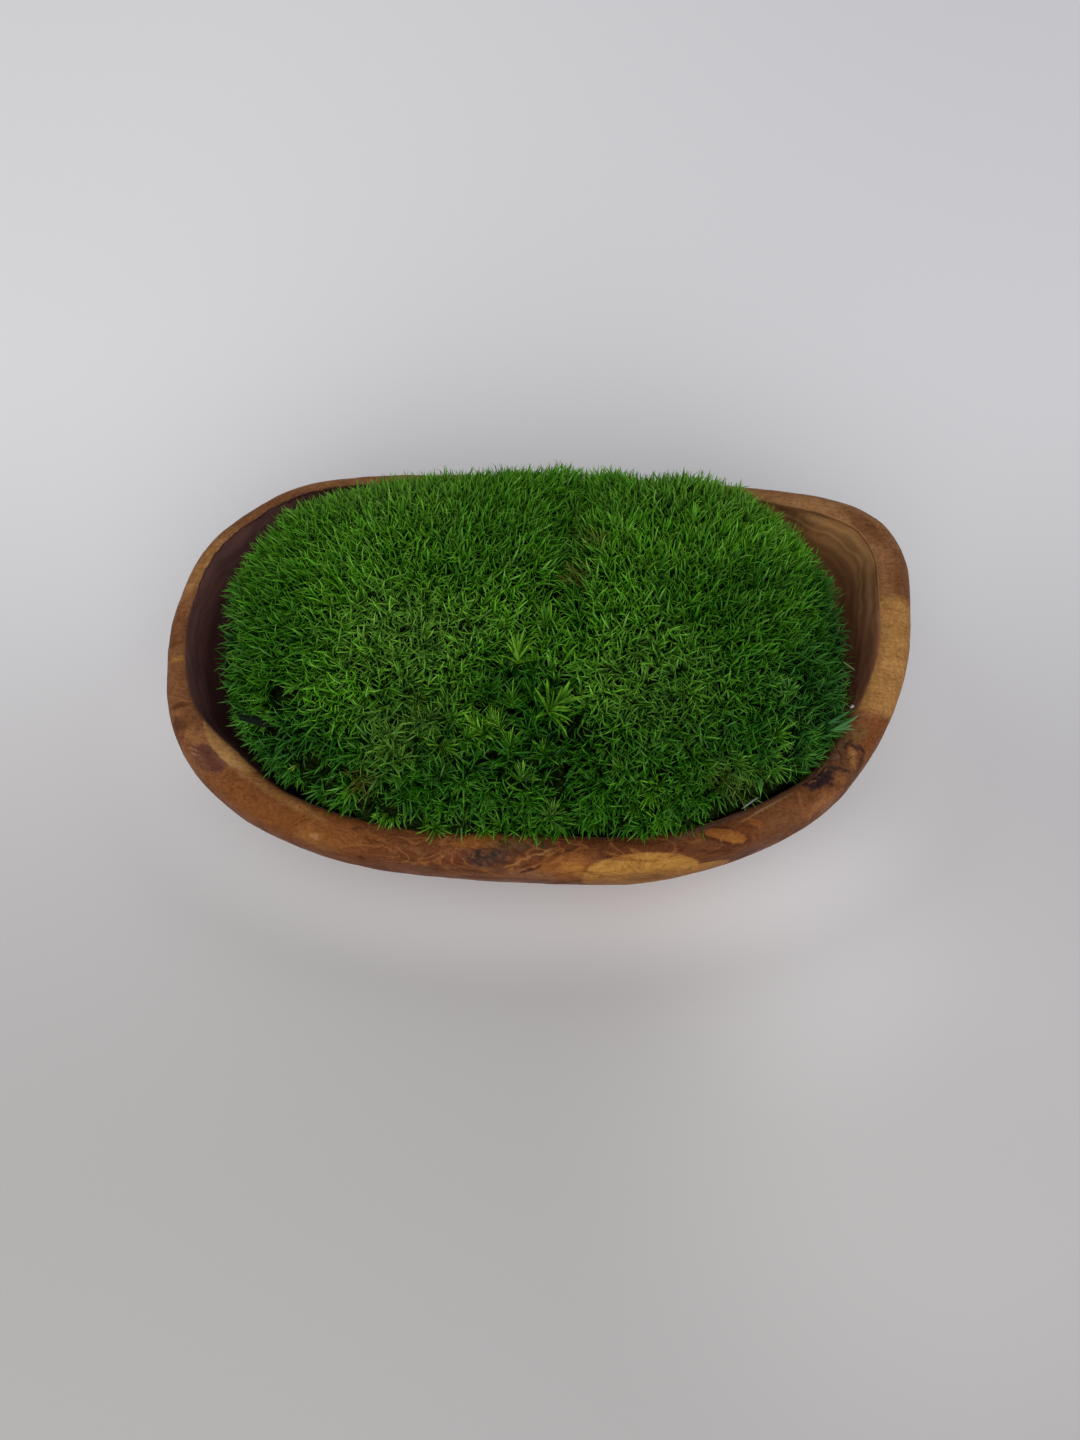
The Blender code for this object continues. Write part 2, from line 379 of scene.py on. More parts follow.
def veins_group():
    """Thin winding lines, where folded noise comes back to its middle."""
    tree, given, result = group_tree(
        "veins", "ShaderNodeTree", {"Place": "Vector", "Size": 0.008, "Width": 0.03, "Lines": 1.0},
        {"Veins": "Float"})
    stretched = vectors(tree, "MULTIPLY", given["Place"], (0.45, 1.0, 1.0))
    heights = noise_in(tree, stretched, maths(tree, "DIVIDE", 1.0, given["Size"]), distortion=0.8)[0]
    folded = maths(tree, "PINGPONG", times(tree, heights, given["Lines"]), 0.5)
    from_middle = maths(tree, "SUBTRACT", 0.5, folded)
    tree.links.new(ramped(tree, from_middle, given["Width"], 0.0), result["Veins"])
    return tree


def pores_group():
    """Short dark dashes along the wood."""
    tree, given, result = group_tree(
        "pores", "ShaderNodeTree", {"Place": "Vector", "Width": 0.0005, "Length": 0.004}, {"Pores": "Float"})
    wide, long = maths(tree, "DIVIDE", 1.0, given["Width"]), maths(tree, "DIVIDE", 1.0, given["Length"])
    scale = put(tree, "ShaderNodeCombineXYZ", {"X": long, "Y": wide, "Z": wide}).outputs[0]
    dashes = noise_in(tree, vectors(tree, "MULTIPLY", given["Place"], scale), 1.0)[0]
    tree.links.new(ramped(tree, dashes, 0.56, 0.70), result["Pores"])
    return tree


def patch_group():
    """A stretched and turned spot with a wobbly outline."""
    tree, given, result = group_tree(
        "patch", "ShaderNodeTree",
        {"Place": "Vector", "Unevenness": "Vector", "Centre": "Vector", "Reach": (0.01, 0.01, 0.01),
         "Turn": "Vector", "Wobble": 0.003, "Edge": 0.3}, {"Mask": "Float"})
    place = vectors(tree, "ADD", given["Place"], vectors(tree, "SCALE", given["Unevenness"], given["Wobble"]))
    local = vectors(tree, "SUBTRACT", place, given["Centre"])
    turned = put(tree, "ShaderNodeVectorRotate", {"Vector": local, "Rotation": given["Turn"]},
                 rotation_type="EULER_XYZ", invert=True).outputs[0]
    distance = vectors(tree, "LENGTH", vectors(tree, "DIVIDE", turned, given["Reach"]))
    inside, outside = (maths(tree, side, 1.0, given["Edge"]) for side in ("SUBTRACT", "ADD"))
    tree.links.new(ramped(tree, distance, inside, outside, 1.0, 0.0), result["Mask"])
    return tree


RINGS, VEINS, PORES, PATCH = rings_group(), veins_group(), pores_group(), patch_group()
print("shader groups:", [group.name for group in (RINGS, VEINS, PORES, PATCH)])

# %% [markdown]
# ## Wood: where each colour lies
# A knot or a band of sapwood belongs to one place on the wood, so every patch has a centre on the rim and a
# reach along x, y and z. They are mixed one after the other, as a painter would glaze them: wide fields first,
# then islands, and last the dark cracks and lines. The gold field at the front goes through the whole wall, so
# it runs on down the belly to the foot.
# Two patches at the front right are painted sheen: a grey-brown spot and a light glint line where the oiled rim
# catches the light.

# %% Wood patches
GOLD = (0.318, 0.158, 0.032)
OCHRE = (0.335, 0.172, 0.052)
ORANGE = (0.225, 0.082, 0.016)
TAN = (0.205, 0.088, 0.034)
RED_BROWN = (0.086, 0.027, 0.009)
DEEP_RED = (0.045, 0.012, 0.006)
OLIVE = (0.12, 0.066, 0.022)
GREY_BROWN = (0.095, 0.054, 0.03)
DARK_BROWN = (0.028, 0.017, 0.012)
# centre and reach (mm), wobble (mm), softness of the edge, strength, colour, and where it isn't 0 the turn
# about z and the tilt about y (degrees)
PATCHES = [
    ((0, 68, 60), (140, 62, 60), 4, 0.3, 0.8, (0.245, 0.115, 0.047)),
    ((100, 52, 60), (30, 20, 30), 4, 0.5, 0.5, (0.265, 0.135, 0.055)),
    ((22, -66, 57), (72, 17, 16), 8, 0.3, 0.92, RED_BROWN),
    ((74, -49, 59), (12, 3.5, 6), 5, 0.5, 0.8, (0.1, 0.035, 0.012), 28),
    ((-72, -53, 57), (32, 10, 14), 4, 0.4, 0.85, (0.138, 0.045, 0.011), -27),
    ((106, -2, 60), (40, 20.5, 30), 3, 0.12, 0.95, OCHRE),
    ((115, 28, 60), (4.5, 10, 7), 6, 0.45, 0.45, RED_BROWN),
    ((106, 45, 60), (10, 3.5, 6), 6, 0.5, 0.7, RED_BROWN, -52),
    ((-94, 53, 59), (16, 3, 6), 5, 0.5, 0.5, RED_BROWN, 32),
    ((-112, 30, 59), (12, 2.6, 6), 4, 0.5, 0.6, OCHRE, 65),
    ((102, -30, 59), (9, 6.5, 9), 5, 0.3, 0.75, (0.15, 0.05, 0.015)),
    ((91, -31, 60.6), (6, 2.6, 4), 3, 0.4, 0.8, OLIVE, 35),
    ((5.5, -69.3, 54), (9.5, 3.4, 9), 4, 0.35, 0.7, ORANGE, 10),
    ((33, -75, 45), (25, 9.3, 60), 0.6, 0.035, 0.95, GOLD, -1.5),
    ((45, -69, 43), (20, 6.2, 10), 0.6, 0.05, 0.93, GOLD),
    ((33, -48, 17), (27, 34, 30), 5, 0.28, 0.93, GOLD),
    ((31, -71, 48), (7, 3, 4), 4, 0.6, 0.6, OLIVE),
    ((-4, -70, 50.5), (8, 3, 4), 6, 0.4, 0.7, TAN),
    ((-6.5, -64.6, 59.6), (8, 1.1, 2.4), 5, 0.5, 0.7, (0.042, 0.026, 0.02), 5),
    ((7.5, -69.4, 55), (3.6, 2, 3.6), 4, 0.35, 0.6, (0.3, 0.125, 0.022), 0, -20),
    ((-19, -62.3, 60), (9, 1.8, 3), 5, 0.4, 0.75, ORANGE, 13),
    ((-11, -63.3, 60), (6, 2.4, 3), 6, 0.4, 0.6, OLIVE),
    ((-20, -70, 47), (19, 3, 2.6), 4, 0.4, 0.6, TAN),
    ((-40, -66, 56.7), (5, 2.6, 3.6), 6, 0.25, 0.55, TAN),
    ((-40, -66, 56.7), (3.9, 1.8, 2.7), 6, 0.25, 0.8, RED_BROWN),
    ((-24, -67.5, 56.5), (8.8, 2.7, 4.4), 6, 0.2, 0.55, TAN),
    ((-24, -67.5, 56.5), (7.8, 2, 3.5), 6, 0.2, 0.85, (0.085, 0.024, 0.009)),
    ((-43, -66, 54), (17, 6, 9), 6, 0.5, 0.45, (0.078, 0.024, 0.007)),
    ((-36.5, -67.6, 53.3), (3.2, 1.4, 1.2), 4, 0.35, 0.75, ORANGE, 0, -25),
    ((-68, -58, 56), (14, 6, 9), 6, 0.6, 0.14, ORANGE, -20),
    ((-66, -60.5, 55), (6, 3, 4.5), 6, 0.6, 0.2, GOLD, -20),
    ((-66.4, -60.4, 56.4), (1.5, 1, 1.4), 2, 0.7, 0.5, (0.42, 0.22, 0.1)),
    ((-80, -46.4, 58.6), (18, 1.7, 4), 2, 0.5, 0.55, (0.3, 0.15, 0.05), -32),
    ((-100.3, -36, 58), (6.4, 3.5, 6), 2, 0.14, 0.88, (0.112, 0.043, 0.03), -36),
    ((-101.8, -33.6, 58.4), (2.6, 1.6, 4), 2.5, 0.4, 0.45, DEEP_RED, -30),
    ((-98.6, -37.6, 58), (3.4, 1.3, 4), 2.5, 0.4, 0.4, DEEP_RED, -36),
    ((-93.9, -29.8, 57), (13.2, 6.1, 9), 0.8, 0.06, 0.92, (0.34, 0.18, 0.062), -51),
    ((-105.4, -32.7, 56.8), (1.8, 0.22, 2), 2.5, 0.6, 0.45, (0.3, 0.17, 0.1), -20),
    ((-105, -34, 56.8), (1.6, 0.22, 2), 2.5, 0.6, 0.45, (0.3, 0.17, 0.1), -25),
    ((-106.8, -27, 58.3), (3.5, 1.6, 4), 4, 0.5, 0.4, OCHRE, -65),
    ((-110.8, -24.5, 58.1), (4, 2.2, 5), 4, 0.5, 0.65, DEEP_RED),
    ((-111.4, -18.7, 58.4), (3.4, 0.9, 5), 3, 0.5, 0.7, DEEP_RED, 5),
    ((-115, 3.1, 58.5), (3.2, 0.6, 4), 1, 0.5, 0.6, RED_BROWN, 15),
    ((-114, -2.4, 58.5), (3.2, 0.9, 4), 1, 0.5, 0.5, GOLD, 10),
    ((53.4, -60.8, 58.4), (10.4, 3.9, 5), 5, 0.4, 0.6, (0.11, 0.036, 0.013), -14),
    ((52.4, -60.8, 58.6), (8.3, 2.5, 4.6), 3.2, 0.16, 0.85, (0.042, 0.012, 0.006), -10),
    ((52.2, -60.8, 58.6), (6.9, 1.75, 4), 3.6, 0.14, 0.95, (0.22, 0.078, 0.016), -10),
    ((53.5, -61.4, 58.4), (3.2, 0.8, 3), 3, 0.4, 0.3, GOLD, -10),
    ((56.6, -59.6, 58.6), (3.4, 0.9, 3), 5, 0.5, 0.65, (0.11, 0.036, 0.012), -4),
    ((50, -63.6, 57.6), (8.5, 0.35, 3), 2.5, 0.5, 0.7, (0.06, 0.02, 0.009), -3),
    ((57.5, -62.4, 57.2), (6.5, 0.35, 3), 2.5, 0.5, 0.65, (0.06, 0.02, 0.009), 10),
    ((60.6, -57, 59.4), (2.6, 1.1, 3), 3, 0.25, 0.75, (0.19, 0.062, 0.014), -10),
    # painted sheen: a grey-brown spot where the oiled rim catches the light
    ((67.6, -58, 56), (6, 4, 5), 5, 0.6, 0.4, (0.15, 0.066, 0.03), 20),
    ((77.7, -53.2, 55.4), (2.2, 1.8, 3), 5, 0.5, 0.55, (0.26, 0.105, 0.035), 20),
    ((57, -53.2, 58.4), (21, 1.4, 4), 1.5, 0.45, 0.75, (0.11, 0.074, 0.05), 25),
    # painted glint: a light line along the inner bevel
    ((64, -52.6, 58.8), (9, 0.4, 3), 1.5, 0.6, 0.45, (0.33, 0.2, 0.1), 30),
    ((74.6, -51, 59), (0.6, 4, 4), 2, 0.5, 0.6, TAN, 22),
    ((88.2, -39.2, 60), (8.6, 6.8, 8), 6, 0.12, 0.7, DEEP_RED, -25),
    ((88, -39.4, 60), (7.6, 5.9, 7), 6, 0.14, 0.88, (0.105, 0.044, 0.02), -25),
    ((91.3, -37.2, 60), (1.5, 3.6, 4), 4, 0.35, 0.85, (0.23, 0.1, 0.032), -4),
    ((87.4, -43.4, 60), (3, 1.6, 4), 5, 0.45, 0.7, (0.175, 0.072, 0.024), 10),
    ((92.4, -34.6, 60), (2.2, 1.2, 4), 4, 0.45, 0.5, TAN, -30),
    ((86.4, -40.2, 60.4), (4.2, 0.55, 3), 4, 0.45, 0.9, DARK_BROWN, -8),
    ((88.6, -30.6, 59.6), (0.9, 3.2, 3), 4, 0.45, 0.85, DARK_BROWN, 12),
    ((85, -36, 59.6), (0.8, 2.6, 3), 4, 0.45, 0.8, DARK_BROWN, -20),
    ((90, -32.4, 60.4), (2.6, 0.5, 3), 4, 0.45, 0.75, DARK_BROWN, 30),
    ((91.6, -36, 60.2), (0.4, 0.8, 3), 2, 0.5, 0.35, (0.36, 0.2, 0.09), 30),
    ((86, -36.6, 60.4), (1.8, 0.8, 3), 4, 0.5, 0.5, (0.2, 0.105, 0.06), 40),
    ((88, -32.8, 60.4), (2.6, 1, 3), 4, 0.5, 0.5, (0.2, 0.115, 0.06), 45),
    ((87.2, -36.4, 60.4), (0.5, 3, 3), 5, 0.45, 0.85, DARK_BROWN, 15),
    ((93.2, -33.7, 60), (2.9, 1, 3), 5, 0.45, 0.85, (0.03, 0.014, 0.012), -25),
    ((94.4, -36.4, 59.4), (0.6, 2.6, 3), 4, 0.5, 0.7, (0.04, 0.017, 0.012), -8),
    ((91.4, -40.4, 59), (0.35, 2.4, 3), 4, 0.45, 0.7, DARK_BROWN, 30),
    ((90.6, -36.6, 59.6), (2.6, 0.3, 3), 4, 0.45, 0.6, DARK_BROWN, 20),
    ((79.6, -42.9, 60), (5.4, 3.7, 5), 7, 0.14, 0.97, (0.017, 0.009, 0.013), 8),
    ((78.4, -44.3, 60.2), (1.3, 0.35, 3), 3, 0.4, 0.8, TAN, 30),
    ((80, -42.6, 60.2), (0.8, 0.35, 3), 3, 0.4, 0.7, GREY_BROWN, -20),
    ((82.6, -40.6, 60.2), (1, 0.3, 3), 3, 0.4, 0.7, TAN, 40),
    ((-4.3, -69.4, 54), (4.2, 2.5, 0.8), 1.5, 0.3, 0.9, DEEP_RED, 0, -39),
    ((6, -66, 59.4), (1.7, 0.8, 2), 3, 0.4, 0.8, DEEP_RED, 20),
    ((-53.7, -58.8, 59.2), (2.4, 0.6, 2), 1.5, 0.45, 0.75, DEEP_RED),
    ((-53.3, -65, 51), (1.6, 0.8, 1), 1.5, 0.45, 0.75, DEEP_RED),
    ((51, -64.6, 56.4), (12, 0.6, 1), 2, 0.5, 0.75, DEEP_RED, 4, 8),
    ((49, -62.4, 58.4), (9, 0.4, 1), 2, 0.5, 0.6, DEEP_RED, -6, 4),
    ((-6, -67.6, 57), (9, 0.35, 1), 3, 0.5, 0.45, OCHRE, 16, -18),
    ((-3, -66.6, 58.5), (8, 0.3, 0.8), 3, 0.5, 0.4, OCHRE, 18, -15),
]

# a dark smear of bark grown into the wood; it covers the light lines too
SMEAR = ((-16.5, -67, 57.3), (6.6, 2.6, 4), 5, 0.45, 4)
# where the figure is curly, and where the tool has cut the wall up into the rim
CURLY = ((-8, -66, 55), (52, 20, 30), 0, 0.5)
CUT_UP = ((-93, -33, 58), (24, 22, 20), 0, 0.4)

# %% Wood colour fields
WOOD, wood, wood_surface = new_material("oiled_root_wood", 0.5, 0.03)
place = place_of(wood)
uneven = wander_in(wood, place, 1 / (3.5 * MM), 5.0, 0.65)


def grain(where, size, detail, roughness=0.5):
    """Noise whose grains are size across, in mm."""
    return noise_in(wood, where, 1 / (size * MM), detail, roughness)[0]


def spot(centre, reach, wobble, edge, turn=0, tilt=0):
    """How far a point lies inside one patch; lengths are in mm and angles in degrees."""
    return used(wood, PATCH, place=place, unevenness=uneven, centre=Vector(centre) * MM, reach=Vector(reach) * MM,
                turn=(0, math.radians(tilt), math.radians(turn)), wobble=wobble * MM, edge=edge)[0]


mottle = ramped(wood, grain(place, 11, 4.0), 0.35, 0.65)
colour = blended(wood, mottle, (0.148, 0.058, 0.024), TAN)
for centre, reach, wobble, edge, strength, tint, *turns in PATCHES:
    share = times(wood, spot(centre, reach, wobble, edge, *turns), strength)
    colour = blended(wood, share, colour, tint)
print("wood:", len(PATCHES), "patches")

# %% [markdown]
# ## Wood: the figure
# Over the fields lies what grew with the tree: yearly rings, winding light veins where the figure is curly, fine
# dark lines, pores, and a play of small specks and wider clouds. The smear of bark is crusty, so a fine noise
# breaks it up. Light lines are mixed in; dark ones multiply the colour below them, as a stain would.

# %% Wood figure
curly = spot(*CURLY)
rings = used(wood, RINGS, place=place, ring_width=3.4 * MM, swirl_size=16 * MM,
             swirl=maths(wood, "MULTIPLY_ADD", curly, 0.018, 0.006))
bent = rings["Bent place"]
fine_rings = used(wood, RINGS, place=bent, ring_width=0.8 * MM, swirl=3 * MM, swirl_size=6 * MM)["Rings"]
light_veins = used(wood, VEINS, place=place, size=12 * MM, width=0.15, lines=9.0)[0]
dark_veins = used(wood, VEINS, place=place, size=11 * MM, width=0.018)[0]
pores = used(wood, PORES, place=bent)[0]
crust = ramped(wood, grain(place, 1.4, 4.0, 0.7), 0.42, 0.6, 0.97, 0.4)
specks = ramped(wood, grain(bent, 1.1, 4.0, 0.7), 0.35, 0.65)
clouds = ramped(wood, grain(bent, 4.8, 5.0, 0.65), 0.36, 0.64)
colour = layered(
    wood, colour,
    (times(wood, rings["Rings"], 0.14), (0.2, 0.078, 0.026)),
    (times(wood, light_veins, times(wood, curly, 0.6)), (0.24, 0.096, 0.026)),
    (times(wood, spot(*SMEAR), crust), (0.024, 0.018, 0.016)),
    (times(wood, dark_veins, maths(wood, "MULTIPLY_ADD", curly, 0.35, 0.16)), (0.4, 0.26, 0.22), STAIN),
    (times(wood, ramped(wood, fine_rings, 0.5, 0.0), maths(wood, "MULTIPLY_ADD", curly, 0.17, 0.28)),
     (0.62, 0.48, 0.42), STAIN),
    (times(wood, pores, 0.45), (0.45, 0.32, 0.28), STAIN),
    (0.42, blended(wood, specks, (0.62, 0.55, 0.5), (1.35, 1.4, 1.45)), STAIN),
    (0.34, blended(wood, clouds, (0.66, 0.56, 0.5), (1.34, 1.36, 1.36)), STAIN))

# %% [markdown]
# ## Wood: the wall and the edge
# The rim is sanded and oiled, so it has a low satin shine. The wall of the hollow is darker, partly in its own
# stained colour and partly as painted light and shade: lighter towards the back, which faces the light, darker on the
# left, which faces away from it, darker in the gouge's grooves and darker still towards the soil. Below the rim,
# painted shade darkens the whole bowl, belly and lower wall alike. A corner's *inward* value, worked out with the
# bowl's shape, tells the wall from the rim, and *groove* tells where the gouge went deeper. Just inside the rim's
# inner edge the tool has scored a dark line.

# %% Wood wall, edge and finish
x, y, z = put(wood, "ShaderNodeSeparateXYZ", {0: place}).outputs
wavering = maths(wood, "MULTIPLY_ADD", grain(place, 30, 3.0), 9.0, times(wood, z, 400.0))
streaks = ramped(wood, layers_in(wood, wavering), 0.38, 0.62)
wall = layered(
    # painted light: the wall lighter towards the back, which faces the light
    wood, blended(wood, ramped(wood, y, -0.005, 0.045), (0.19, 0.087, 0.05), (0.255, 0.136, 0.055)),
    # the left wall darker, partly its own dark stain and partly painted shade, as it faces away from the light
    (ramped(wood, x, 0.02, -0.05), (0.094, 0.047, 0.042)),
    (times(wood, mottle, 0.4), (1.5, 1.4, 1.3), STAIN),
    # painted shade in the gouge's grooves
    (times(wood, ramped(wood, stored(wood, "groove"), 0.0, -0.9), 0.28), (0.5, 0.42, 0.4), STAIN),
    (ramped(wood, x, -0.05, 0.06, 0.25, 0.45), blended(wood, streaks, (0.6, 0.5, 0.46), (1.3, 1.26, 1.2)), STAIN),
    # painted shade: the wall darker towards the soil
    (ramped(wood, z, 0.0565, 0.0465), (0.54, 0.48, 0.49), STAIN))

ragged = times(wood, vectors(wood, "DOT_PRODUCT", uneven, (1, 1, 0)), ramped(wood, x, -0.05, 0.06, 0.45, 0.12))
cut_up = times(wood, spot(*CUT_UP), ramped(wood, z, 0.056, 0.0576, 0.0, 0.45))
edge = maths(wood, "SUBTRACT", maths(wood, "ADD", stored(wood, "inward"), ragged), cut_up)
off_line = maths(wood, "ABSOLUTE", maths(wood, "SUBTRACT", edge, 0.66))
scored = times(wood, ramped(wood, off_line, 0.12, 0.03), ramped(wood, y, 0.005, 0.025))
colour = layered(
    wood, colour,
    # painted shade: the bowl darker below the rim, on the belly and the lower wall
    (ramped(wood, z, 0.057, 0.043), (0.62, 0.52, 0.44), STAIN),
    (ramped(wood, edge, 0.44, 0.56), wall),
    (times(wood, scored, 0.8), (0.35, 0.26, 0.24), STAIN))

relief = maths(wood, "SUBTRACT", fine_rings, times(wood, pores, 1.5))
dress(wood, wood_surface, colour, relief, distance=0.05 * MM, strength=0.4)
wood.links.new(ramped(wood, mottle, 0, 1, 0.56, 0.42), wood_surface.inputs["Roughness"])
piece("carved_bowl", bowl_surface, WOOD, "wooden_bowl", "wood")

# %% [markdown]
# ## The soil
# Only a strip of it shows, at the blunt end and along the left, and it lies in shadow. It is damp peat: a
# crumbly, nearly black surface. Two sizes of noise on a finely divided copy give lumps and crumbs. The finish is
# a function, because the old stems under the moss get the same kind of finish later, with finer crumbs.

# %% Soil
def crumbly(name, specular, crumbs, highest, dark, light):
    """A matt material of crumbs (scale, detail and roughness of the noise), which are coloured and raised."""
    material, tree, surface = new_material(name, 0.9, specular)
    crumbs = noise_in(tree, place_of(tree), *crumbs)[0]
    dress(tree, surface, blended(tree, ramped(tree, crumbs, 0.35, highest), dark, light), crumbs, distance=0.6 * MM)
    return material


def soil_mesh():
    """The soil with a crumbly top; its sides stay where the bowl holds them."""
    mesh = smooth_copy("soil_bed")
    points, facing = points_of(mesh), normals_of(mesh)
    top = step(facing[:, 2], 0.3, 0.8) * step(points[:, 2], 38 * MM, 41 * MM)
    lift = 0.9 * MM * waves(points, 6 * MM, 5) + 0.35 * MM * waves(points, 1.6 * MM, 6)
    move_points(mesh, points + facing * (top * (lift - 0.6 * MM))[:, None])
    mesh.shade_smooth()
    return mesh


PEAT = crumbly("damp_peat", 0.25, (420.0, 6.0, 0.7), 0.7, (0.006, 0.004, 0.003), (0.04, 0.026, 0.016))
piece("peat_soil", soil_mesh(), PEAT, "soil_bed", "soil")

# %% [markdown]
# ## One moss leaf
# A moss leaf is a narrow blade, 5 to 8 mm long and under 1 mm wide, with a keel along its back. Thousands are
# needed, so one leaf may have only a few faces: a three-sided blade with a closed foot, two rings and a tip.
# A few shapes, from straight to bowed, are enough for the eye to see no repeat once each is turned and sized.
# Young star moss has wider leaves, and one bundle has broad ones.

# %% Leaf shapes
BLADE_RINGS = [(0.0, 0.55), (0.40, 1.0), (0.75, 0.72)]  # share of the length, share of the width
KEEL = 0.42  # keel depth, as a share of the width there


def leaf_shape(name, length, width, bow, twist, shapes):
    """One closed leaf standing on its foot along +Z and bowing towards +X."""
    points, along = [], []
    for share, breadth in BLADE_RINGS:
        half = width * breadth / 2
        turn = Matrix.Rotation(twist * share, 3, "Z")
        for side, depth in ((-1, 0), (1, 0), (0, -2 * KEEL)):
            corner = turn @ Vector((-depth * half, side * half, 0))
            points.append(corner + Vector((bow * length * share**2, 0, length * share)))
            along.append(share)
    points.append(Vector((bow * length, 0, length * (1 - bow**2 / 3))))
    along.append(1.0)
    faces = [(2, 1, 0)]
    for ring in range(len(BLADE_RINGS) - 1):
        for k in range(3):
            a, b = 3 * ring + k, 3 * ring + (k + 1) % 3
            faces.append((a, b, b + 3, a + 3))
    last = 3 * (len(BLADE_RINGS) - 1)
    faces += [(last + k, last + (k + 1) % 3, last + 3) for k in range(3)]
    mesh = bpy.data.meshes.new(name)
    mesh.from_pydata(points, [], faces)
    mark(mesh, "along", along)
    shapes.objects.link(bpy.data.objects.new(name, mesh))


def leaf_family(name, length, width, bows, twist):
    """A collection of leaves that differ in bow; it is never shown. Sizes are in mm."""
    shapes = bpy.data.collections.new(name)
    for number, bow in enumerate(bows):
        turn = twist * (number - len(bows) / 2)
        leaf_shape(f"{name}_{number}", length * MM, width * MM, bow, turn, shapes)
    return shapes


CUSHION_LEAVES = leaf_family("cushion_leaf", 7.9, 0.62, (0.10, 0.24, 0.38, 0.53, 0.68), 0.5)
STAR_LEAVES = leaf_family("star_leaf", 8.0, 0.58, (0.06, 0.18, 0.30, 0.42), 0.3)
YOUNG_LEAVES = leaf_family("young_leaf", 8.0, 0.95, (0.06, 0.18, 0.30, 0.42), 0.3)
BROAD_LEAVES = leaf_family("broad_leaf", 9.5, 1.2, (0.05, 0.16), 0.2)

# %% [markdown]
# ## Where the moss grows
# Each clump's outer surface is where its leaf tips end. A few numbers are worked out on it before anything is
# planted. *open* is 1 where the surface meets the air and 0 where it presses against a neighbour or the wood, found
# by sending a short ray out of each corner; it also drops in the gaps where few shoots stand, such as the valleys in
# the front fringe and the ragged edges at both ends. *pale* and *old* say how the moss looks there, and two numbers
# are painted shade: one tints the leaves bluish where the moss lies in shade, and *deep* darkens the ones that lie in
# shade, at the foot of the dome or in the valleys between tufts. Such places are this planting's own, so they are
# listed one by one.

# %% Places on the moss
# seen from above: x, y, reach along x and y (mm), and how strong it is there, 1 if not given
PALE_PLACES = [
    (-37, -13, 24, 17), (30, -30, 22, 20, 0.8), (-37, -40, 13, 11, 1.5), (-52, 46, 34, 12, 0.6),
    (48, 44, 30, 12, 0.5), (91, -2, 5, 26, 0.5), (-101, -14, 5, 30, 0.4)]
SHADE_PLACES = [
    (62, -44, 36, 16, 1.2), (-4, -40, 18, 22, 1.6), (0, -70, 110, 42, 1.22), (-100, -16, 36, 40),
    (-100, -22, 14, 16, 1.5), (64, -8, 36, 26), (8, 14, 6, 34), (-52, -52, 30, 12, 1.05), (-16, 20, 20, 20, 0.5),
    (90, 3, 10, 30, 1.6), (-102, -14, 6, 30, 1.7), (-78, -40, 20, 7, 1.6), (80, -25, 15, 17, 1.45)]
OLD_PLACES = [
    (-52, -52, 3.4, 2.4), (13, 21, 2.4, 4), (8, 9, 2, 4), (56, -51, 16, 3.5, 0.35)]
BLUISH_SHADE_PLACES = [
    (80, -28, 16, 20), (-101, -14, 7, 30, 1.2), (66, -45, 18, 8, 0.6), (91, 2, 6, 30, 1.2), (-80, -38, 16, 7, 0.7)]
# gaps between shoots that show the dark depth, in the moss and along its edges
HOLES = [
    (-77.6, -27.6, 6.2, 5.4), (-83.4, -7, 2.2, 2), (5.4, -39.9, 2.6, 3.2), (2.7, -50.2, 3.4, 3.4),
    (-13.7, -46.1, 2.2, 3.2), (3.2, -1.3, 1.6, 3.2), (5.7, -7.9, 1.6, 3.2), (-44.3, -55.6, 2.6, 2.2),
    (-52.1, -54.6, 2.4, 2.2), (69.3, -41.1, 2.8, 2.4), (69.9, -36, 2.4, 2.6), (74.3, -23.8, 2.4, 4),
    (52.1, -37.5, 2, 2), (-9, -52, 3.4, 2.4), (-17, -34, 2.2, 2), (-20.5, -49.5, 2.6, 2), (13, -45, 2, 2.4),
    (80, -30, 2.2, 3), (42, -60, 3.4, 2.4), (48.5, -57.4, 4, 2.4), (55.5, -54, 4, 2.5), (62.5, -50.2, 4, 2.6),
    (68.5, -47, 4, 2.6), (74, -43.8, 3.4, 2.6), (-91.5, -24, 3, 3, 0.8), (-86.5, -30, 3, 3, 0.85),
    (-80.5, -35.5, 3.4, 3, 0.85), (-74.5, -40, 3.4, 3, 0.85), (-68, -44.5, 3.6, 3, 0.85),
    (-61.5, -49, 3.6, 2.8, 0.8), (93, -4, 6, 26, 0.75), (-103, -12, 9, 28, 0.85), (-93, -34, 7, 6, 0.85),
    (-38.5, -60.4, 3.6, 2.6, 0.9), (-23.4, -61.6, 3.2, 2.6, 0.9), (8.9, -41, 3.4, 2.8), (-4, -47.6, 2.8, 2.2),
    (2.7, -53.6, 3.4, 2.6), (4.9, -28.1, 2.6, 2.2), (2.2, 3.5, 2, 4.6), (-8.4, -37.6, 2.4, 2), (-29.3, -11.3, 2, 1.8)]
# where a cushion swells a little beyond its frame solid
BULGES = [
    (50, 50, 16, 10), (20, 50, 7, 8), (9, 52, 6, 8, 0.8), (-78, 40, 14, 9, 0.6)]

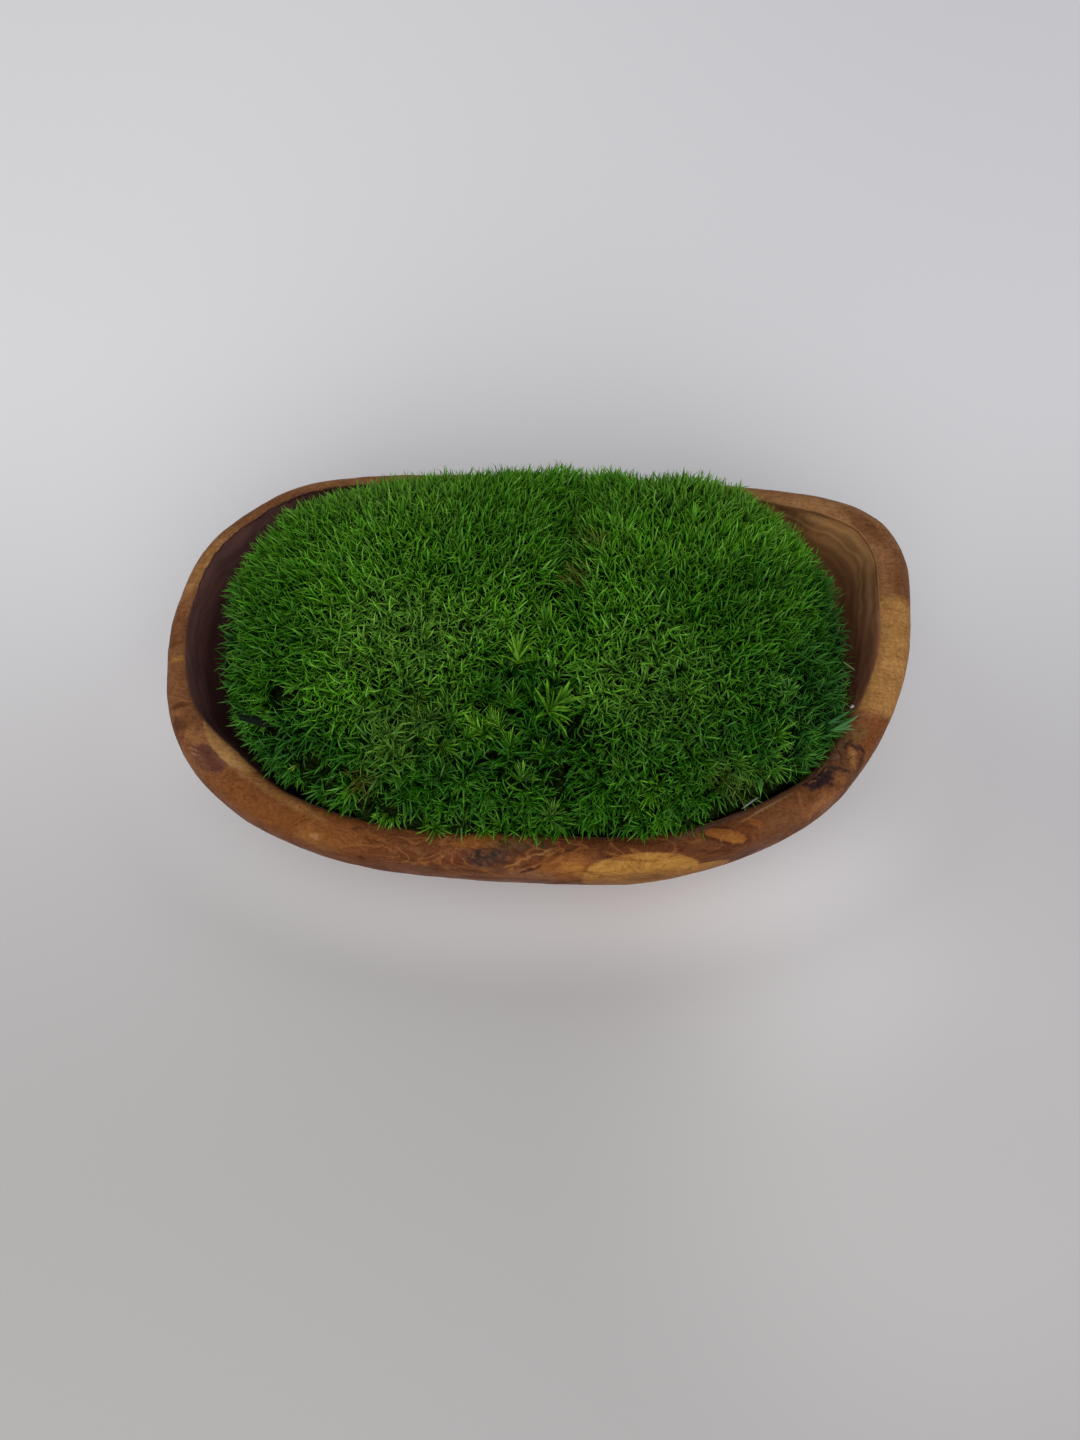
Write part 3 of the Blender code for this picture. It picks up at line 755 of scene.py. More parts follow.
# %% Clump surfaces
CUSHIONS = ("moss_cushion_left", "moss_cushion_right")
STAR_CLUMPS = ("star_moss_seam", "star_moss_front_left", "star_moss_front_right")
CLUMPS = CUSHIONS + STAR_CLUMPS
NEAR = 2.0 * MM  # a neighbour closer than this leaves no room for leaves
STEEP = 0.30  # only walls that face this little up or down can press against one
FOOT_OF_MOSS = 46 * MM
TUFT_SIZE = 5.5 * MM
LUMP_SIZE = 14 * MM
SWELLING = 3.0 * MM  # how far a cushion swells beyond its frame solid, at most


def ray_trees():
    """A quick-to-search copy of each moss clump and of the bowl."""
    trees = {}
    for name in CLUMPS + ("wooden_bowl",):
        mesh = frame["nodes"][name].data
        faces = [tuple(face.vertices) for face in mesh.polygons]
        trees[name] = BVHTree.FromPolygons([corner.co for corner in mesh.vertices], faces)
    return trees


def spread_of(points, places, seed, edges=(1.25, 0.55)):
    """How strongly each point lies in any of the places, with uneven edges."""
    shares = np.zeros(len(points))
    ragged = 0.45 * waves(points, 9 * MM, seed)
    for row in places:
        x, y, wide, deep, strength = (*row, 1)[:5]
        away = np.hypot(*((points[:, :2] / MM - (x, y)) / (wide, deep)).T) + ragged
        shares = np.maximum(shares, strength * step(away, *edges))
    return shares


def clump_surface(name, trees):
    """The rounded outer surface of a clump, marked for planting."""
    mesh = smooth_copy(name)
    points, facing = points_of(mesh), normals_of(mesh)
    height = points[:, 2]
    is_open = np.ones(len(points))
    for number in np.flatnonzero(np.abs(facing[:, 2]) < STEEP):
        for other, tree in trees.items():
            if other != name and tree.ray_cast(Vector(points[number]), Vector(facing[number]), NEAR)[0] is not None:
                is_open[number] = 0
    is_open *= step(height, FOOT_OF_MOSS, FOOT_OF_MOSS + 4 * MM)
    is_open *= 1 - spread_of(points, HOLES, 13, (1.1, 0.9))
    tufts = waves(points, TUFT_SIZE, 8)
    tuft_height, valley_depth = (1.5 * MM, 0.9) if name in STAR_CLUMPS else (0.8 * MM, 0.45)
    lumps = 0.8 * MM * waves(points, LUMP_SIZE, 7) + SWELLING * spread_of(points, BULGES, 15, (1.6, 0.2))
    move_points(mesh, points + facing * ((lumps + tuft_height * tufts) * is_open)[:, None])
    at_the_ends = 1.5 * step(height, 78 * MM, 60 * MM) * step(np.abs(points[:, 0]), 70 * MM, 88 * MM)
    low = 0.4 * step(height, 60 * MM, 50 * MM)
    mark(mesh, "open", is_open)
    mark(mesh, "pale", spread_of(points, PALE_PLACES, 9))
    # painted shade: a bluish tint where the moss lies in shade
    mark(mesh, "bluish_shade", spread_of(points, BLUISH_SHADE_PLACES, 16))
    mark(mesh, "old", np.maximum(spread_of(points, OLD_PLACES, 11), low))
    shaded = np.maximum(spread_of(points, SHADE_PLACES, 10), at_the_ends)
    mark(mesh, "deep", shaded + valley_depth * step(tufts, 0.05, -0.35))
    return mesh


def open_of(surface):
    """The stored openness of a surface, corner by corner."""
    values = np.zeros(len(surface.vertices), np.float32)
    surface.attributes["open"].data.foreach_get("value", values)
    return values


TREES = ray_trees()
surfaces = {name: clump_surface(name, TREES) for name in CLUMPS}
print("surfaces:", {name: len(mesh.vertices) for name, mesh in surfaces.items()})

# %% [markdown]
# ## Planting: the shoots
# A moss plant is an upright shoot with leaves set round it in a spiral. One Geometry Nodes tree plants a whole
# clump. First it scatters shoots evenly over the surface and points each away from a centre deep in the clump:
# this is what makes the cushion's leaves fan out. Noise then sways whole tufts together, and chance leans each
# shoot a little, more so in the pale places, where the moss is looser.

# %% Planting tree: shoots
plant, given, planted_moss = group_tree("plant moss", "GeometryNodeTree", {
    "Surface": "Geometry", "Leaf shapes": "Collection", "Finish": "Material", "Spacing": 0.00178,
    "Centre of growth": "Vector", "Leaves per shoot": 6, "Shoot height": 0.0092, "Stem": 0.0035,
    "Inner spread": 0.08, "Outer spread": 0.50, "Extra spread where pale": 0.45, "Disorder": 0.22,
    "Extra disorder where pale": 0.45, "Crowding": 1.0, "Tuft size": 0.005, "Tuft lean": 0.48,
    "Smallest leaf": 0.78, "Largest leaf": 1.04, "Seed": 1, "By hand": False}, {"Moss": "Geometry"})
ANY_WAY = ((-1, -1, -1), (1, 1, 1))
MOST_SHOOTS = 2e6  # per square metre, far more than the spacing allows


def chance(low, high, offset, kind="FLOAT"):
    """A random value for each point, with a seed of its own."""
    first, second, out = {"FLOAT": (2, 3, 1), "FLOAT_VECTOR": (0, 1, 0), "INT": (4, 5, 2)}[kind]
    seed = maths(plant, "ADD", given["Seed"], float(offset))
    feeds = {first: low, second: high, "Seed": seed}
    return put(plant, "FunctionNodeRandomValue", feeds, data_type=kind).outputs[out]


def kept(geometry, **values):
    """Keeps values with the points, so that later nodes still see them; returns them after the geometry."""
    node = plant.nodes.new("GeometryNodeCaptureAttribute")
    plant.links.new(geometry, node.inputs["Geometry"])
    for label, value in values.items():
        node.capture_items.new("VECTOR" if value.type == "VECTOR" else "FLOAT", label)
        plant.links.new(value, node.inputs[label])
    return [node.outputs["Geometry"]] + [node.outputs[label] for label in values]


def moved(geometry, way, distance):
    """Shifts points along their own way."""
    offset = vectors(plant, "SCALE", way, distance)
    return put(plant, "GeometryNodeSetPosition", {"Geometry": geometry, "Offset": offset}).outputs[0]


is_open, pale, bigger = (
    put(plant, "GeometryNodeInputNamedAttribute", {"Name": label}, data_type="FLOAT").outputs["Attribute"]
    for label in ("open", "pale", "bigger"))
scattered = put(plant, "GeometryNodeDistributePointsOnFaces",
                {"Mesh": given["Surface"], "Distance Min": given["Spacing"], "Density Max": MOST_SHOOTS,
                 "Density Factor": is_open, "Seed": given["Seed"]}, distribute_method="POISSON").outputs["Points"]
spots = put(plant, "GeometryNodeMeshToPoints", {"Mesh": given["Surface"]}).outputs[0]
chosen = put(plant, "GeometryNodeSwitch", {"Switch": given["By hand"], "False": scattered, "True": spots},
             input_type="GEOMETRY").outputs[0]
tip = put(plant, "GeometryNodeInputPosition").outputs[0]
away = vectors(plant, "NORMALIZE", vectors(plant, "SUBTRACT", tip, given["Centre of growth"]))
tufts = wander_in(plant, tip, maths(plant, "DIVIDE", 1.0, given["Tuft size"]))
sway = vectors(plant, "SCALE", tufts, given["Tuft lean"])
disorder = maths(plant, "MULTIPLY_ADD", pale, given["Extra disorder where pale"], given["Disorder"])
stray = vectors(plant, "SCALE", chance(*ANY_WAY, 1, "FLOAT_VECTOR"), disorder)
leaning = vectors(plant, "NORMALIZE", vectors(plant, "ADD", vectors(plant, "ADD", away, sway), stray))
side = vectors(plant, "CROSS_PRODUCT", leaning, chance(*ANY_WAY, 2, "FLOAT_VECTOR"))
shoots, axis, across, paleness, extra = kept(
    chosen, axis=leaning, across=vectors(plant, "NORMALIZE", side), paleness=pale, extra=bigger)
rooted = moved(shoots, axis, times(plant, given["Shoot height"], -1.0))
toned, tone = kept(rooted, tone=chance(0.0, 1.0, 3))

# %% [markdown]
# ## Planting: the leaves
# The tree copies each shoot once per leaf, and sets the leaves round the shoot: the first ones close to its
# axis, the last ones spread wide. *Crowding* above 1 keeps more of them close to the axis, as in a young
# rosette. The angle from leaf to leaf is the golden angle, as on real plants, so no two leaves lie over each
# other. The end of the tree turns the leaf copies into real mesh and gives them their finish.

# %% Planting tree: leaves
GOLDEN_ANGLE = math.pi * (3 - math.sqrt(5))

copies = put(plant, "GeometryNodeDuplicateElements",
             {"Geometry": toned, "Amount": given["Leaves per shoot"]}, domain="POINT").outputs
number = copies["Duplicate Index"]
rank = maths(plant, "DIVIDE", maths(plant, "ADD", number, 0.5), given["Leaves per shoot"])
turn = maths(plant, "ADD", times(plant, number, GOLDEN_ANGLE), chance(-0.5, 0.5, 4))
third = vectors(plant, "CROSS_PRODUCT", axis, across)
outward = vectors(plant, "ADD", vectors(plant, "SCALE", across, maths(plant, "COSINE", turn)),
                  vectors(plant, "SCALE", third, maths(plant, "SINE", turn)))
widest = maths(plant, "ADD", given["Outer spread"], times(plant, paleness, given["Extra spread where pale"]))
crowded = maths(plant, "POWER", rank, given["Crowding"])
spread = put(plant, "ShaderNodeMapRange", {"Value": crowded, "To Min": given["Inner spread"], "To Max": widest})
spread = maths(plant, "ADD", spread.outputs[0], chance(-0.12, 0.12, 5))
reach_up, reach_out = maths(plant, "COSINE", spread), maths(plant, "SINE", spread)
blade = vectors(plant, "ADD", vectors(plant, "SCALE", axis, reach_up), vectors(plant, "SCALE", outward, reach_out))
face = vectors(plant, "SUBTRACT", vectors(plant, "SCALE", outward, reach_up),
               vectors(plant, "SCALE", axis, reach_out))
placed = moved(copies["Geometry"], axis, times(plant, given["Stem"], maths(plant, "SUBTRACT", 1.0, rank)))
turned = put(plant, "FunctionNodeAxesToRotation", {0: blade, 1: face},
             primary_axis="Z", secondary_axis="X").outputs[0]
shapes = put(plant, "GeometryNodeCollectionInfo", {"Collection": given["Leaf shapes"], "Separate Children": True})
size = maths(plant, "ADD", chance(given["Smallest leaf"], given["Largest leaf"], 7), extra)
leaves = put(plant, "GeometryNodeInstanceOnPoints",
             {"Points": placed, "Instance": shapes.outputs[0], "Pick Instance": True,
              "Instance Index": chance(0, 7, 6, "INT"), "Rotation": turned, "Scale": size}).outputs[0]
shade = maths(plant, "ADD", times(plant, tone, 0.5), chance(0.0, 0.5, 8))
shaded = put(plant, "GeometryNodeStoreNamedAttribute", {"Geometry": leaves, "Name": "shade", "Value": shade},
             data_type="FLOAT", domain="INSTANCE").outputs[0]
solid = put(plant, "GeometryNodeRealizeInstances", {"Geometry": shaded}).outputs[0]
done = put(plant, "GeometryNodeSetMaterial", {"Geometry": solid, "Material": given["Finish"]}).outputs[0]
plant.links.new(done, planted_moss["Moss"])
print("planting tree:", len(plant.nodes), "nodes")


def planted(name, surface, **choices):
    """Plants a surface, with choices named as the tree's inputs are, and gives the leaves as a plain mesh."""
    work = in_scene(name, surface.copy())
    modifier = work.modifiers.new("planting", "NODES")
    modifier.node_group = plant
    sockets = {item.name: item.identifier for item in plant.interface.items_tree if item.in_out == "INPUT"}
    for label, value in spoken(choices).items():
        modifier[sockets[label]] = value
    work.update_tag()
    return applied(work, name)


# %% [markdown]
# ## Moss finish
# A moss leaf is one cell thick, so light goes through it and it looks most saturated in the depth of the cushion.
# The colour follows what the planting stored: how far along the leaf a point is, the leaf's own shade, and the kind
# of place it grows in. Painted shade darkens the leaves where they lie deep, tints them bluish where the moss lies in
# shade, and darkens each leaf's foot where its root colour is dark; the tips are lighter, partly in their own colour
# and partly as painted highlight, and a few of the lightest leaves are painted paler still, as painted highlights. A
# noise gives whole tufts a tone of their own, so that neighbouring tufts differ.

# %% Moss finish
def moss_material(name, young, fresh, bright, root, root_reach=0.62):
    """A green from young to fresh by the leaf's shade, lighter at the tip, partly as painted highlight, and turned to
    the root colour at its foot, painted shade where that colour is dark.
    """
    material, tree, surface = new_material(name, 0.5, 0.12)
    shade, along = stored(tree, "shade"), stored(tree, "along")
    most = {"pale": 0.4, "bluish_shade": 0.4, "deep": 0.6, "old": 0.75}
    pale, bluish_shade, deep, old = (times(tree, stored(tree, label), share) for label, share in most.items())
    tufts = ramped(tree, noise_in(tree, place_of(tree), 130.0, 3.0)[0], 0.38, 0.62)
    colour = layered(
        tree, blended(tree, shade, young, fresh),
        # painted highlight: a few of the lightest leaves paler still
        (ramped(tree, shade, 0.66, 0.84, 0.0, 0.55), (0.2, 0.36, 0.075)),
        (pale, (0.16, 0.275, 0.046)),
        # painted shade: a bluish tint where the moss lies in shade
        (bluish_shade, (0.03, 0.115, 0.04)),
        (0.7, blended(tree, tufts, (0.6, 0.68, 0.82), (1.12, 1.18, 1.05)), STAIN),
        # a lighter tip: partly the leaf's own colour, partly painted highlight
        (times(tree, ramped(tree, along, 0.55, 1.0), 0.5), bright),
        # painted shade where the moss lies deep
        (deep, (0.22, 0.38, 0.28), STAIN),
        # painted shade at the leaf's foot, where the root colour is dark
        (ramped(tree, along, root_reach, root_reach - 0.5), root),
        (old, (0.12, 0.105, 0.02)))
    dress(tree, surface, colour)
    return material


CUSHION_GREEN = moss_material("cushion_moss_green", (0.008, 0.076, 0.001), (0.102, 0.372, 0.007),
                              (0.215, 0.49, 0.036), (0.002, 0.018, 0.0005))
STAR_GREEN = moss_material("star_moss_green", (0.014, 0.1, 0.001), (0.105, 0.3, 0.008),
                           (0.23, 0.46, 0.035), (0.05, 0.17, 0.003), 0.25)
YOUNG_GREEN = moss_material("young_rosette_green", (0.05, 0.19, 0.002), (0.145, 0.37, 0.007),
                            (0.215, 0.44, 0.025), (0.18, 0.42, 0.004), 0.25)
YELLOW_TIPS = moss_material("yellow_moss_tips", (0.36, 0.36, 0.02), (0.45, 0.44, 0.03),
                            (0.6, 0.55, 0.05), (0.1, 0.12, 0.01))
GREY_GREEN = moss_material("greyish_green_leaves", (0.045, 0.14, 0.03), (0.075, 0.21, 0.045),
                           (0.12, 0.28, 0.07), (0.025, 0.085, 0.015), 0.3)

# %% [markdown]
# ## The mat under the leaves
# Below the green, the stems and dead leaves of earlier years form a dense mat. Made as the clump's own surface, sunk
# by the height of a shoot, it closes every gap between leaves. Its nearly black colour is partly the old stems' own
# and partly painted shade for the depth between the leaves.

# %% Mats
MAT_DEPTH = 7.5 * MM
SLOTS = {name: "star_moss" if name in STAR_CLUMPS else "cushion_moss" for name in CLUMPS}
# centre of growth (mm) of each clump, from which its shoots fan out
CENTRES = {
    "moss_cushion_left": (-44, 14, 30), "moss_cushion_right": (38, -3, 28), "star_moss_seam": (0, -28, 30),
    "star_moss_front_left": (-34, -18, 40), "star_moss_front_right": (52, -18, 36),
}


def mat_mesh(name):
    """A clump's surface, sunk along its shoots; between neighbours it only drops."""
    mesh = surfaces[name].copy()
    points, is_open = points_of(mesh), open_of(mesh)
    away = points - np.array(Vector(CENTRES[name]) * MM)
    away /= np.linalg.norm(away, axis=1)[:, None]
    drop = step(points[:, 2], 44 * MM, 60 * MM)[:, None] * np.array([[0, 0, 1.0]])
    way = is_open[:, None] * away + (1 - is_open[:, None]) * drop
    rough = 1 + 0.25 * waves(points, 2.5 * MM, 12)
    move_points(mesh, points - way * MAT_DEPTH * rough[:, None])
    mesh.shade_smooth()
    return mesh


# nearly black: partly the old stems, partly painted shade deep between the leaves
MAT_WITH_PAINTED_SHADE = crumbly("old_moss_mat_painted_dark", 0.02, (900.0, 5.0, 0.5), 0.65, (0.001, 0.003, 0.0005), (0.008, 0.014, 0.002))
for name in CLUMPS:
    piece(name + "_mat", mat_mesh(name), MAT_WITH_PAINTED_SHADE, name, SLOTS[name])

# %% [markdown]
# ## Rosettes that catch the eye
# A few rosettes stand out, and where they stand is part of this planting's character. They are listed: each row below
# becomes one point of a small mesh, and the same tree plants it when its *By hand* input is on. Four young ones at
# the top of the seam have broader leaves and fan out backwards.
# A wide rosette shades what grows under it, so the finer moss is left out round its foot.

# %% Rosettes one by one
# x, y, z of the tip (mm), extra size, paleness, painted shade
ROSETTES = {
    "star_moss_seam": [
        (0, -4.6, 91.2, -0.02, 0.2, 0.3), (-8.8, -28.8, 90.4, -0.05, 0.2, 0.2),
        (-14.2, -36.6, 88.4, -0.03, 0.2, 0.2), (-9.5, -42.1, 86.6, -0.03, 0.2, 0.2),
        (-0.8, -44.6, 85.6, -0.07, 0.1, 0.3), (-5.7, -49.6, 82.2, -0.07, 0.2, 0.4),
        (2.7, -58.4, 74.7, -0.03, 1.6, 0.4), (-5.1, -61.5, 66.2, -0.05, 0.2, 0.3),
        (-13, -60.5, 69.2, -0.05, 0.2, 0.3)],
    "star_moss_front_left": [
        (-35.5, -38, 86.7, -0.05, 1.5, 0), (-39.7, -39, 85.7, -0.07, 1.4, 0), (-46.4, -43.9, 82.6, -0.05, 1.4, 0),
        (-41.9, -44, 83.6, -0.07, 1.2, 0), (-31.4, -41.7, 85.6, -0.07, 1.4, 0), (-38.8, -45.3, 83, -0.07, 1.2, 0),
        (-44, -39.2, 84, -0.12, 1.2, 0), (-34.5, -34, 86, -0.12, 1.2, 0), (-24.6, -36.4, 88, -0.01, 0.3, 0),
        (-25.6, -44.9, 84.2, -0.01, 0.4, 0), (-20.7, -41.1, 86.2, -0.07, 0.3, 0.1),
        (-46.8, -58.6, 64.2, -0.1, 0.2, 0.2), (-43, -59.2, 65.2, -0.12, 0.2, 0.2),
        (-30.5, -61.4, 62.6, 0, 0.3, 0.3), (-17.2, -61.2, 63.2, -0.02, 0.2, 0.3),
        (-56, -53.1, 70.7, -0.14, 0.3, 0.5)],
    "star_moss_front_right": [
        (66.2, -38.3, 78.2, 0.06, 0, 0.1), (64.1, -43.1, 75.2, 0.04, 0, 0.1), (66, -45.5, 71.2, -0.03, 0, 0.2),
        (74.9, -40.9, 69.2, -0.01, 0, 0.2), (55.1, -49.1, 73.7, -0.03, 0.5, 0.3),
        (54.7, -45.3, 77.2, -0.1, 0.3, 0.3), (30.2, -52.7, 77.8, 0.02, 0.2, 0), (28, -56.4, 76.1, -0.01, 0, 0.1),
        (31.3, -60.2, 68.2, -0.01, 0, 0.1), (24, -59, 71.2, -0.07, 0, 0.3), (19.3, -49, 82.8, -0.05, 0.4, 0.2),
        (69.7, -24.8, 81.2, -0.07, 0.6, 0.2)],
}
YOUNG_ROSETTES = [
    (4.2, -33.6, 91.2, 0.3, 0.5, 0.1), (-7.8, -14.8, 91, 0.12, 0.4, 0.4), (-14.6, -36, 87.4, -0.04, 0.3, 0.6),
    (-20.5, -37.5, 86.6, -0.04, 0.3, 0.6)]
ROOM = 2.2 * MM  # round the foot of each
FANNING = {"star_moss_seam": (-4, -54, 48)}  # these fan out backwards, seen from the viewer's side


def hand_set(name, rows):
    """A mesh of loose points, one for each rosette, carrying what the planting tree and the finish read."""
    mesh = bpy.data.meshes.new(name)
    rows = np.array(rows, float)
    mesh.from_pydata(rows[:, :3] * MM, [], [])
    for label, column in (("bigger", 3), ("pale", 4), ("deep", 5)):
        mark(mesh, label, rows[:, column])
    mark(mesh, "bluish_shade", spread_of(rows[:, :3] * MM, BLUISH_SHADE_PLACES, 16))
    return mesh


for surface in surfaces.values():
    where, still_open = points_of(surface)[:, :2], open_of(surface)
    for row in [row for rows in ROSETTES.values() for row in rows] + YOUNG_ROSETTES:
        away = np.hypot(*(where - np.array(row[:2]) * MM).T)
        still_open *= step(away, 0.5 * ROOM, ROOM * (1 + row[3]))
    surface.attributes["open"].data.foreach_set("value", still_open)
print("rosettes by hand:", {name: len(rows) for name, rows in ROSETTES.items()}, "and", len(YOUNG_ROSETTES), "young")

# %% [markdown]
# ## Planting the clumps
# The two cushions hold fine leaves, close together; each is planted in two halves, so that no piece gets too heavy.
# The three smaller clumps are star moss: more leaves on each shoot, opening into rosettes, both scattered ones and
# those at listed points.

# %% Plant all
MIDDLE = 8 * MM  # the line y = MIDDLE parts a cushion's back from its front


def moss_piece(name, node, surface, finish, **choices):
    """Plants a surface and shows the leaves as a piece of a clump."""
    shared = dict(finish=finish, centre_of_growth=Vector(CENTRES[node]) * MM, seed=CLUMPS.index(node) + 1)
    piece(name, planted(name, surface, **shared | choices), finish, node, SLOTS[node])


def rosettes(name, node, rows, finish, **choices):
    """Plants rosettes at listed points."""
    shared = dict(inner_spread=0.0, stem=2.5 * MM, shoot_height=6.5 * MM, smallest_leaf=0.6, largest_leaf=1.0,
                  by_hand=True)
    moss_piece(name, node, hand_set(name + "_points", rows), finish, **shared | choices)


def half_of(surface, side):
    """A copy of a surface, open only behind the middle line (side 1) or before it (side -1)."""
    part = surface.copy()
    on_side = side * (points_of(part)[:, 1] - MIDDLE) > 0
    part.attributes["open"].data.foreach_set("value", (open_of(part) * on_side).astype(np.float32))
    return part


for name in CUSHIONS:
    for part, side in (("back", 1), ("front", -1)):
        moss_piece(f"{name}_{part}", name, half_of(surfaces[name], side), CUSHION_GREEN, leaf_shapes=CUSHION_LEAVES)
for name in STAR_CLUMPS:
    moss_piece(name + "_filling", name, surfaces[name], CUSHION_GREEN, leaf_shapes=CUSHION_LEAVES,
               spacing=1.9 * MM, outer_spread=0.8, disorder=0.35)
    moss_piece(name + "_rosettes", name, surfaces[name], STAR_GREEN, leaf_shapes=STAR_LEAVES,
               spacing=8.5 * MM, leaves_per_shoot=12, inner_spread=0.15, outer_spread=0.95, stem=2 * MM,
               shoot_height=7 * MM, smallest_leaf=0.6, largest_leaf=1.0, disorder=0.3, seed=20)
    rosettes(name + "_standouts", name, ROSETTES[name], STAR_GREEN, leaf_shapes=STAR_LEAVES, leaves_per_shoot=26,
             outer_spread=1.05, crowding=1.5, extra_spread_where_pale=0.1, disorder=0.22, seed=40,
             centre_of_growth=Vector(FANNING.get(name, CENTRES[name])) * MM)
rosettes("young_rosettes", "star_moss_seam", YOUNG_ROSETTES, YOUNG_GREEN, leaf_shapes=YOUNG_LEAVES,
         leaves_per_shoot=28, outer_spread=1.0, crowding=1.4, extra_spread_where_pale=0.5, disorder=0.25, seed=43,
         centre_of_growth=Vector((-8, -52, 54)) * MM)

# %% [markdown]
# ## The seam
# The two large cushions have grown against each other. Between them runs a shallow valley, where stray shoots
# from both sides stand thinly over the dark old stems, most thinly towards the viewer. A narrow strip along the
# valley's floor carries them.

# %% Seam
SEAM = [(14, 57, 68), (14, 52, 77), (14, 45, 85), (13.5, 35, 88), (13, 23, 88), (7.5, 13, 88.5), (1.5, 5, 89),
        (3, -2, 89), (6, -8, 88.5)]
SEAM_HALF_WIDTH = 4.5 * MM
SEAM_DEPTH = 1.5 * MM


def seam_strip():
    """A shallow gutter along the seam, three corners wide."""
    line = [Vector(corner) * MM for corner in SEAM]
    points, faces = [], []
    for number, corner in enumerate(line):
        ahead = line[min(number + 1, len(line) - 1)] - line[max(number - 1, 0)]
        across = ahead.cross(Vector((0, 0, 1))).normalized() * SEAM_HALF_WIDTH
        points += [corner - across, corner - Vector((0, 0, SEAM_DEPTH)), corner + across]
    for a in range(0, 3 * (len(line) - 1), 3):
        faces += [(a + side, a + side + 1, a + side + 4, a + side + 3) for side in (0, 1)]
    mesh = bpy.data.meshes.new("seam_strip")
    mesh.from_pydata(points, [], faces)
    stations = np.arange(len(points)) // 3
    mark(mesh, "open", np.where(stations > 5, 0.35, 1))
    # painted shade all along the valley
    mark(mesh, "deep", np.full(len(points), 0.9))
    mark(mesh, "old", np.where((stations >= 3) & (stations <= 5), 0.15, 0))
    mesh.update()
    if mesh.polygons[0].normal.z < 0:
        mesh.flip_normals()
    return mesh


moss_piece("seam_stray_shoots", "moss_cushion_left", seam_strip(), CUSHION_GREEN, leaf_shapes=CUSHION_LEAVES,
           centre_of_growth=Vector((8, 18, 20)) * MM, spacing=1.7 * MM, disorder=0.6, outer_spread=0.8, seed=60)

# %% [markdown]
# ## Small things among the leaves
# A real clump is never clean. A strip of dark bark lies over its left side, a white mineral grain from the
# potting mix and a dry straw have caught at the right edge, and a pale sliver lies in the gap at the rim. One
# shoot has a yellow tip, and a bundle of broad, greyish leaves leans out over the rim. Each is a piece of its own.

# %% Small things
def pebble(name, centre, sides, lean, colour, roughness, specular, seed):
    """An uneven lump or sliver: a rounded ball, stretched, turned and dented."""
    shape = bmesh.new()
    bmesh.ops.create_icosphere(shape, subdivisions=3, radius=0.5)
    mesh = bpy.data.meshes.new(name)
    shape.to_mesh(mesh)
    shape.free()
    points = points_of(mesh)
    points *= (1 + 0.35 * waves(points, 0.45, seed))[:, None]
    turn = np.array(Vector((1, 0, 0)).rotation_difference(Vector(lean)).to_matrix())
    move_points(mesh, (points * np.array(sides) * MM) @ turn.T + np.array(centre) * MM)
    mesh.shade_smooth()
    material, tree, surface = new_material(name + "_finish", roughness, specular)
    grains = noise_in(tree, place_of(tree), 1200.0, 3.0)[0]
    dress(tree, surface, blended(tree, grains, [0.5 * part for part in colour], colour))
    return mesh, material


# name, clump, slot, centre, sides (mm), the way it points, colour, roughness, specular, seed
SMALL_THINGS = [
    ("bark_sliver", "moss_cushion_left", "soil",
     (-84, -30.6, 72.4), (15, 2.4, 1.0), (17, -9, 8), (0.009, 0.013, 0.009), 0.9, 0.02, 21),
    ("mineral_grain", "moss_cushion_right", "soil",
     (91.4, -22.4, 65), (1.3, 1.0, 0.9), (1, 0.4, 0.3), (0.36, 0.34, 0.38), 0.5, 0.3, 22),
    ("pale_sliver", "star_moss_front_right", "soil",
     (59.1, -51.9, 62), (5.8, 0.55, 0.4), (4.6, 3.2, 0.5), (0.22, 0.24, 0.23), 0.4, 0.3, 23),
    ("dry_straw", "moss_cushion_right", "cushion_moss",
     (89.6, -13.4, 73.4), (5.5, 0.6, 0.4), (10, -2.4, -8), (0.12, 0.15, 0.050), 0.6, 0.1, 24),
]
for name, node, slot, *form in SMALL_THINGS:
    piece(name, *pebble(name, *form), node, slot)
tips = hand_set("tip_points", [(-71.8, -45.1, 70.5, -0.5, 0, 0)])
moss_piece("yellow_tips", "moss_cushion_left", tips, YELLOW_TIPS, leaf_shapes=STAR_LEAVES, leaves_per_shoot=4,
           stem=1 * MM, shoot_height=3 * MM, seed=61, by_hand=True)
# each point: x, y, z (mm), extra size, paleness, painted shade; the second shoot is painted in shade
bundle = hand_set("bundle_points", [(82.3, -34.0, 73.2, 0.05, 0, 0), (81.8, -31.6, 73.4, -0.05, 0, 0.5)])
moss_piece("broad_leaf_bundle", "star_moss_front_right", bundle, GREY_GREEN, leaf_shapes=BROAD_LEAVES,
           centre_of_growth=Vector((57, -47, 88)) * MM, leaves_per_shoot=5, inner_spread=0.02, outer_spread=0.24,
           stem=1 * MM, shoot_height=1 * MM, disorder=0.05, tuft_lean=0.0, seed=62, by_hand=True)

# %% [markdown]
# ## Floor and light
# The planting stands on a plain pale floor. Its colour holds painted light: it gets lighter away from the viewer and
# towards the left, as the light falls off, and lighter close to the bowl and at two spots before it, where the bowl's
# shadow would fall. The room is bright all round, with one large soft light overhead and another, lower one on the
# viewer's side, so that the bowl throws hardly any shadow towards the viewer.

# %% Stage
FLOOR_SIDE = 3.0
ROOM_LIGHT = 0.45
BOWL_PLAN = (0.120, 0.0706, 1.0)  # half the bowl's length and breadth


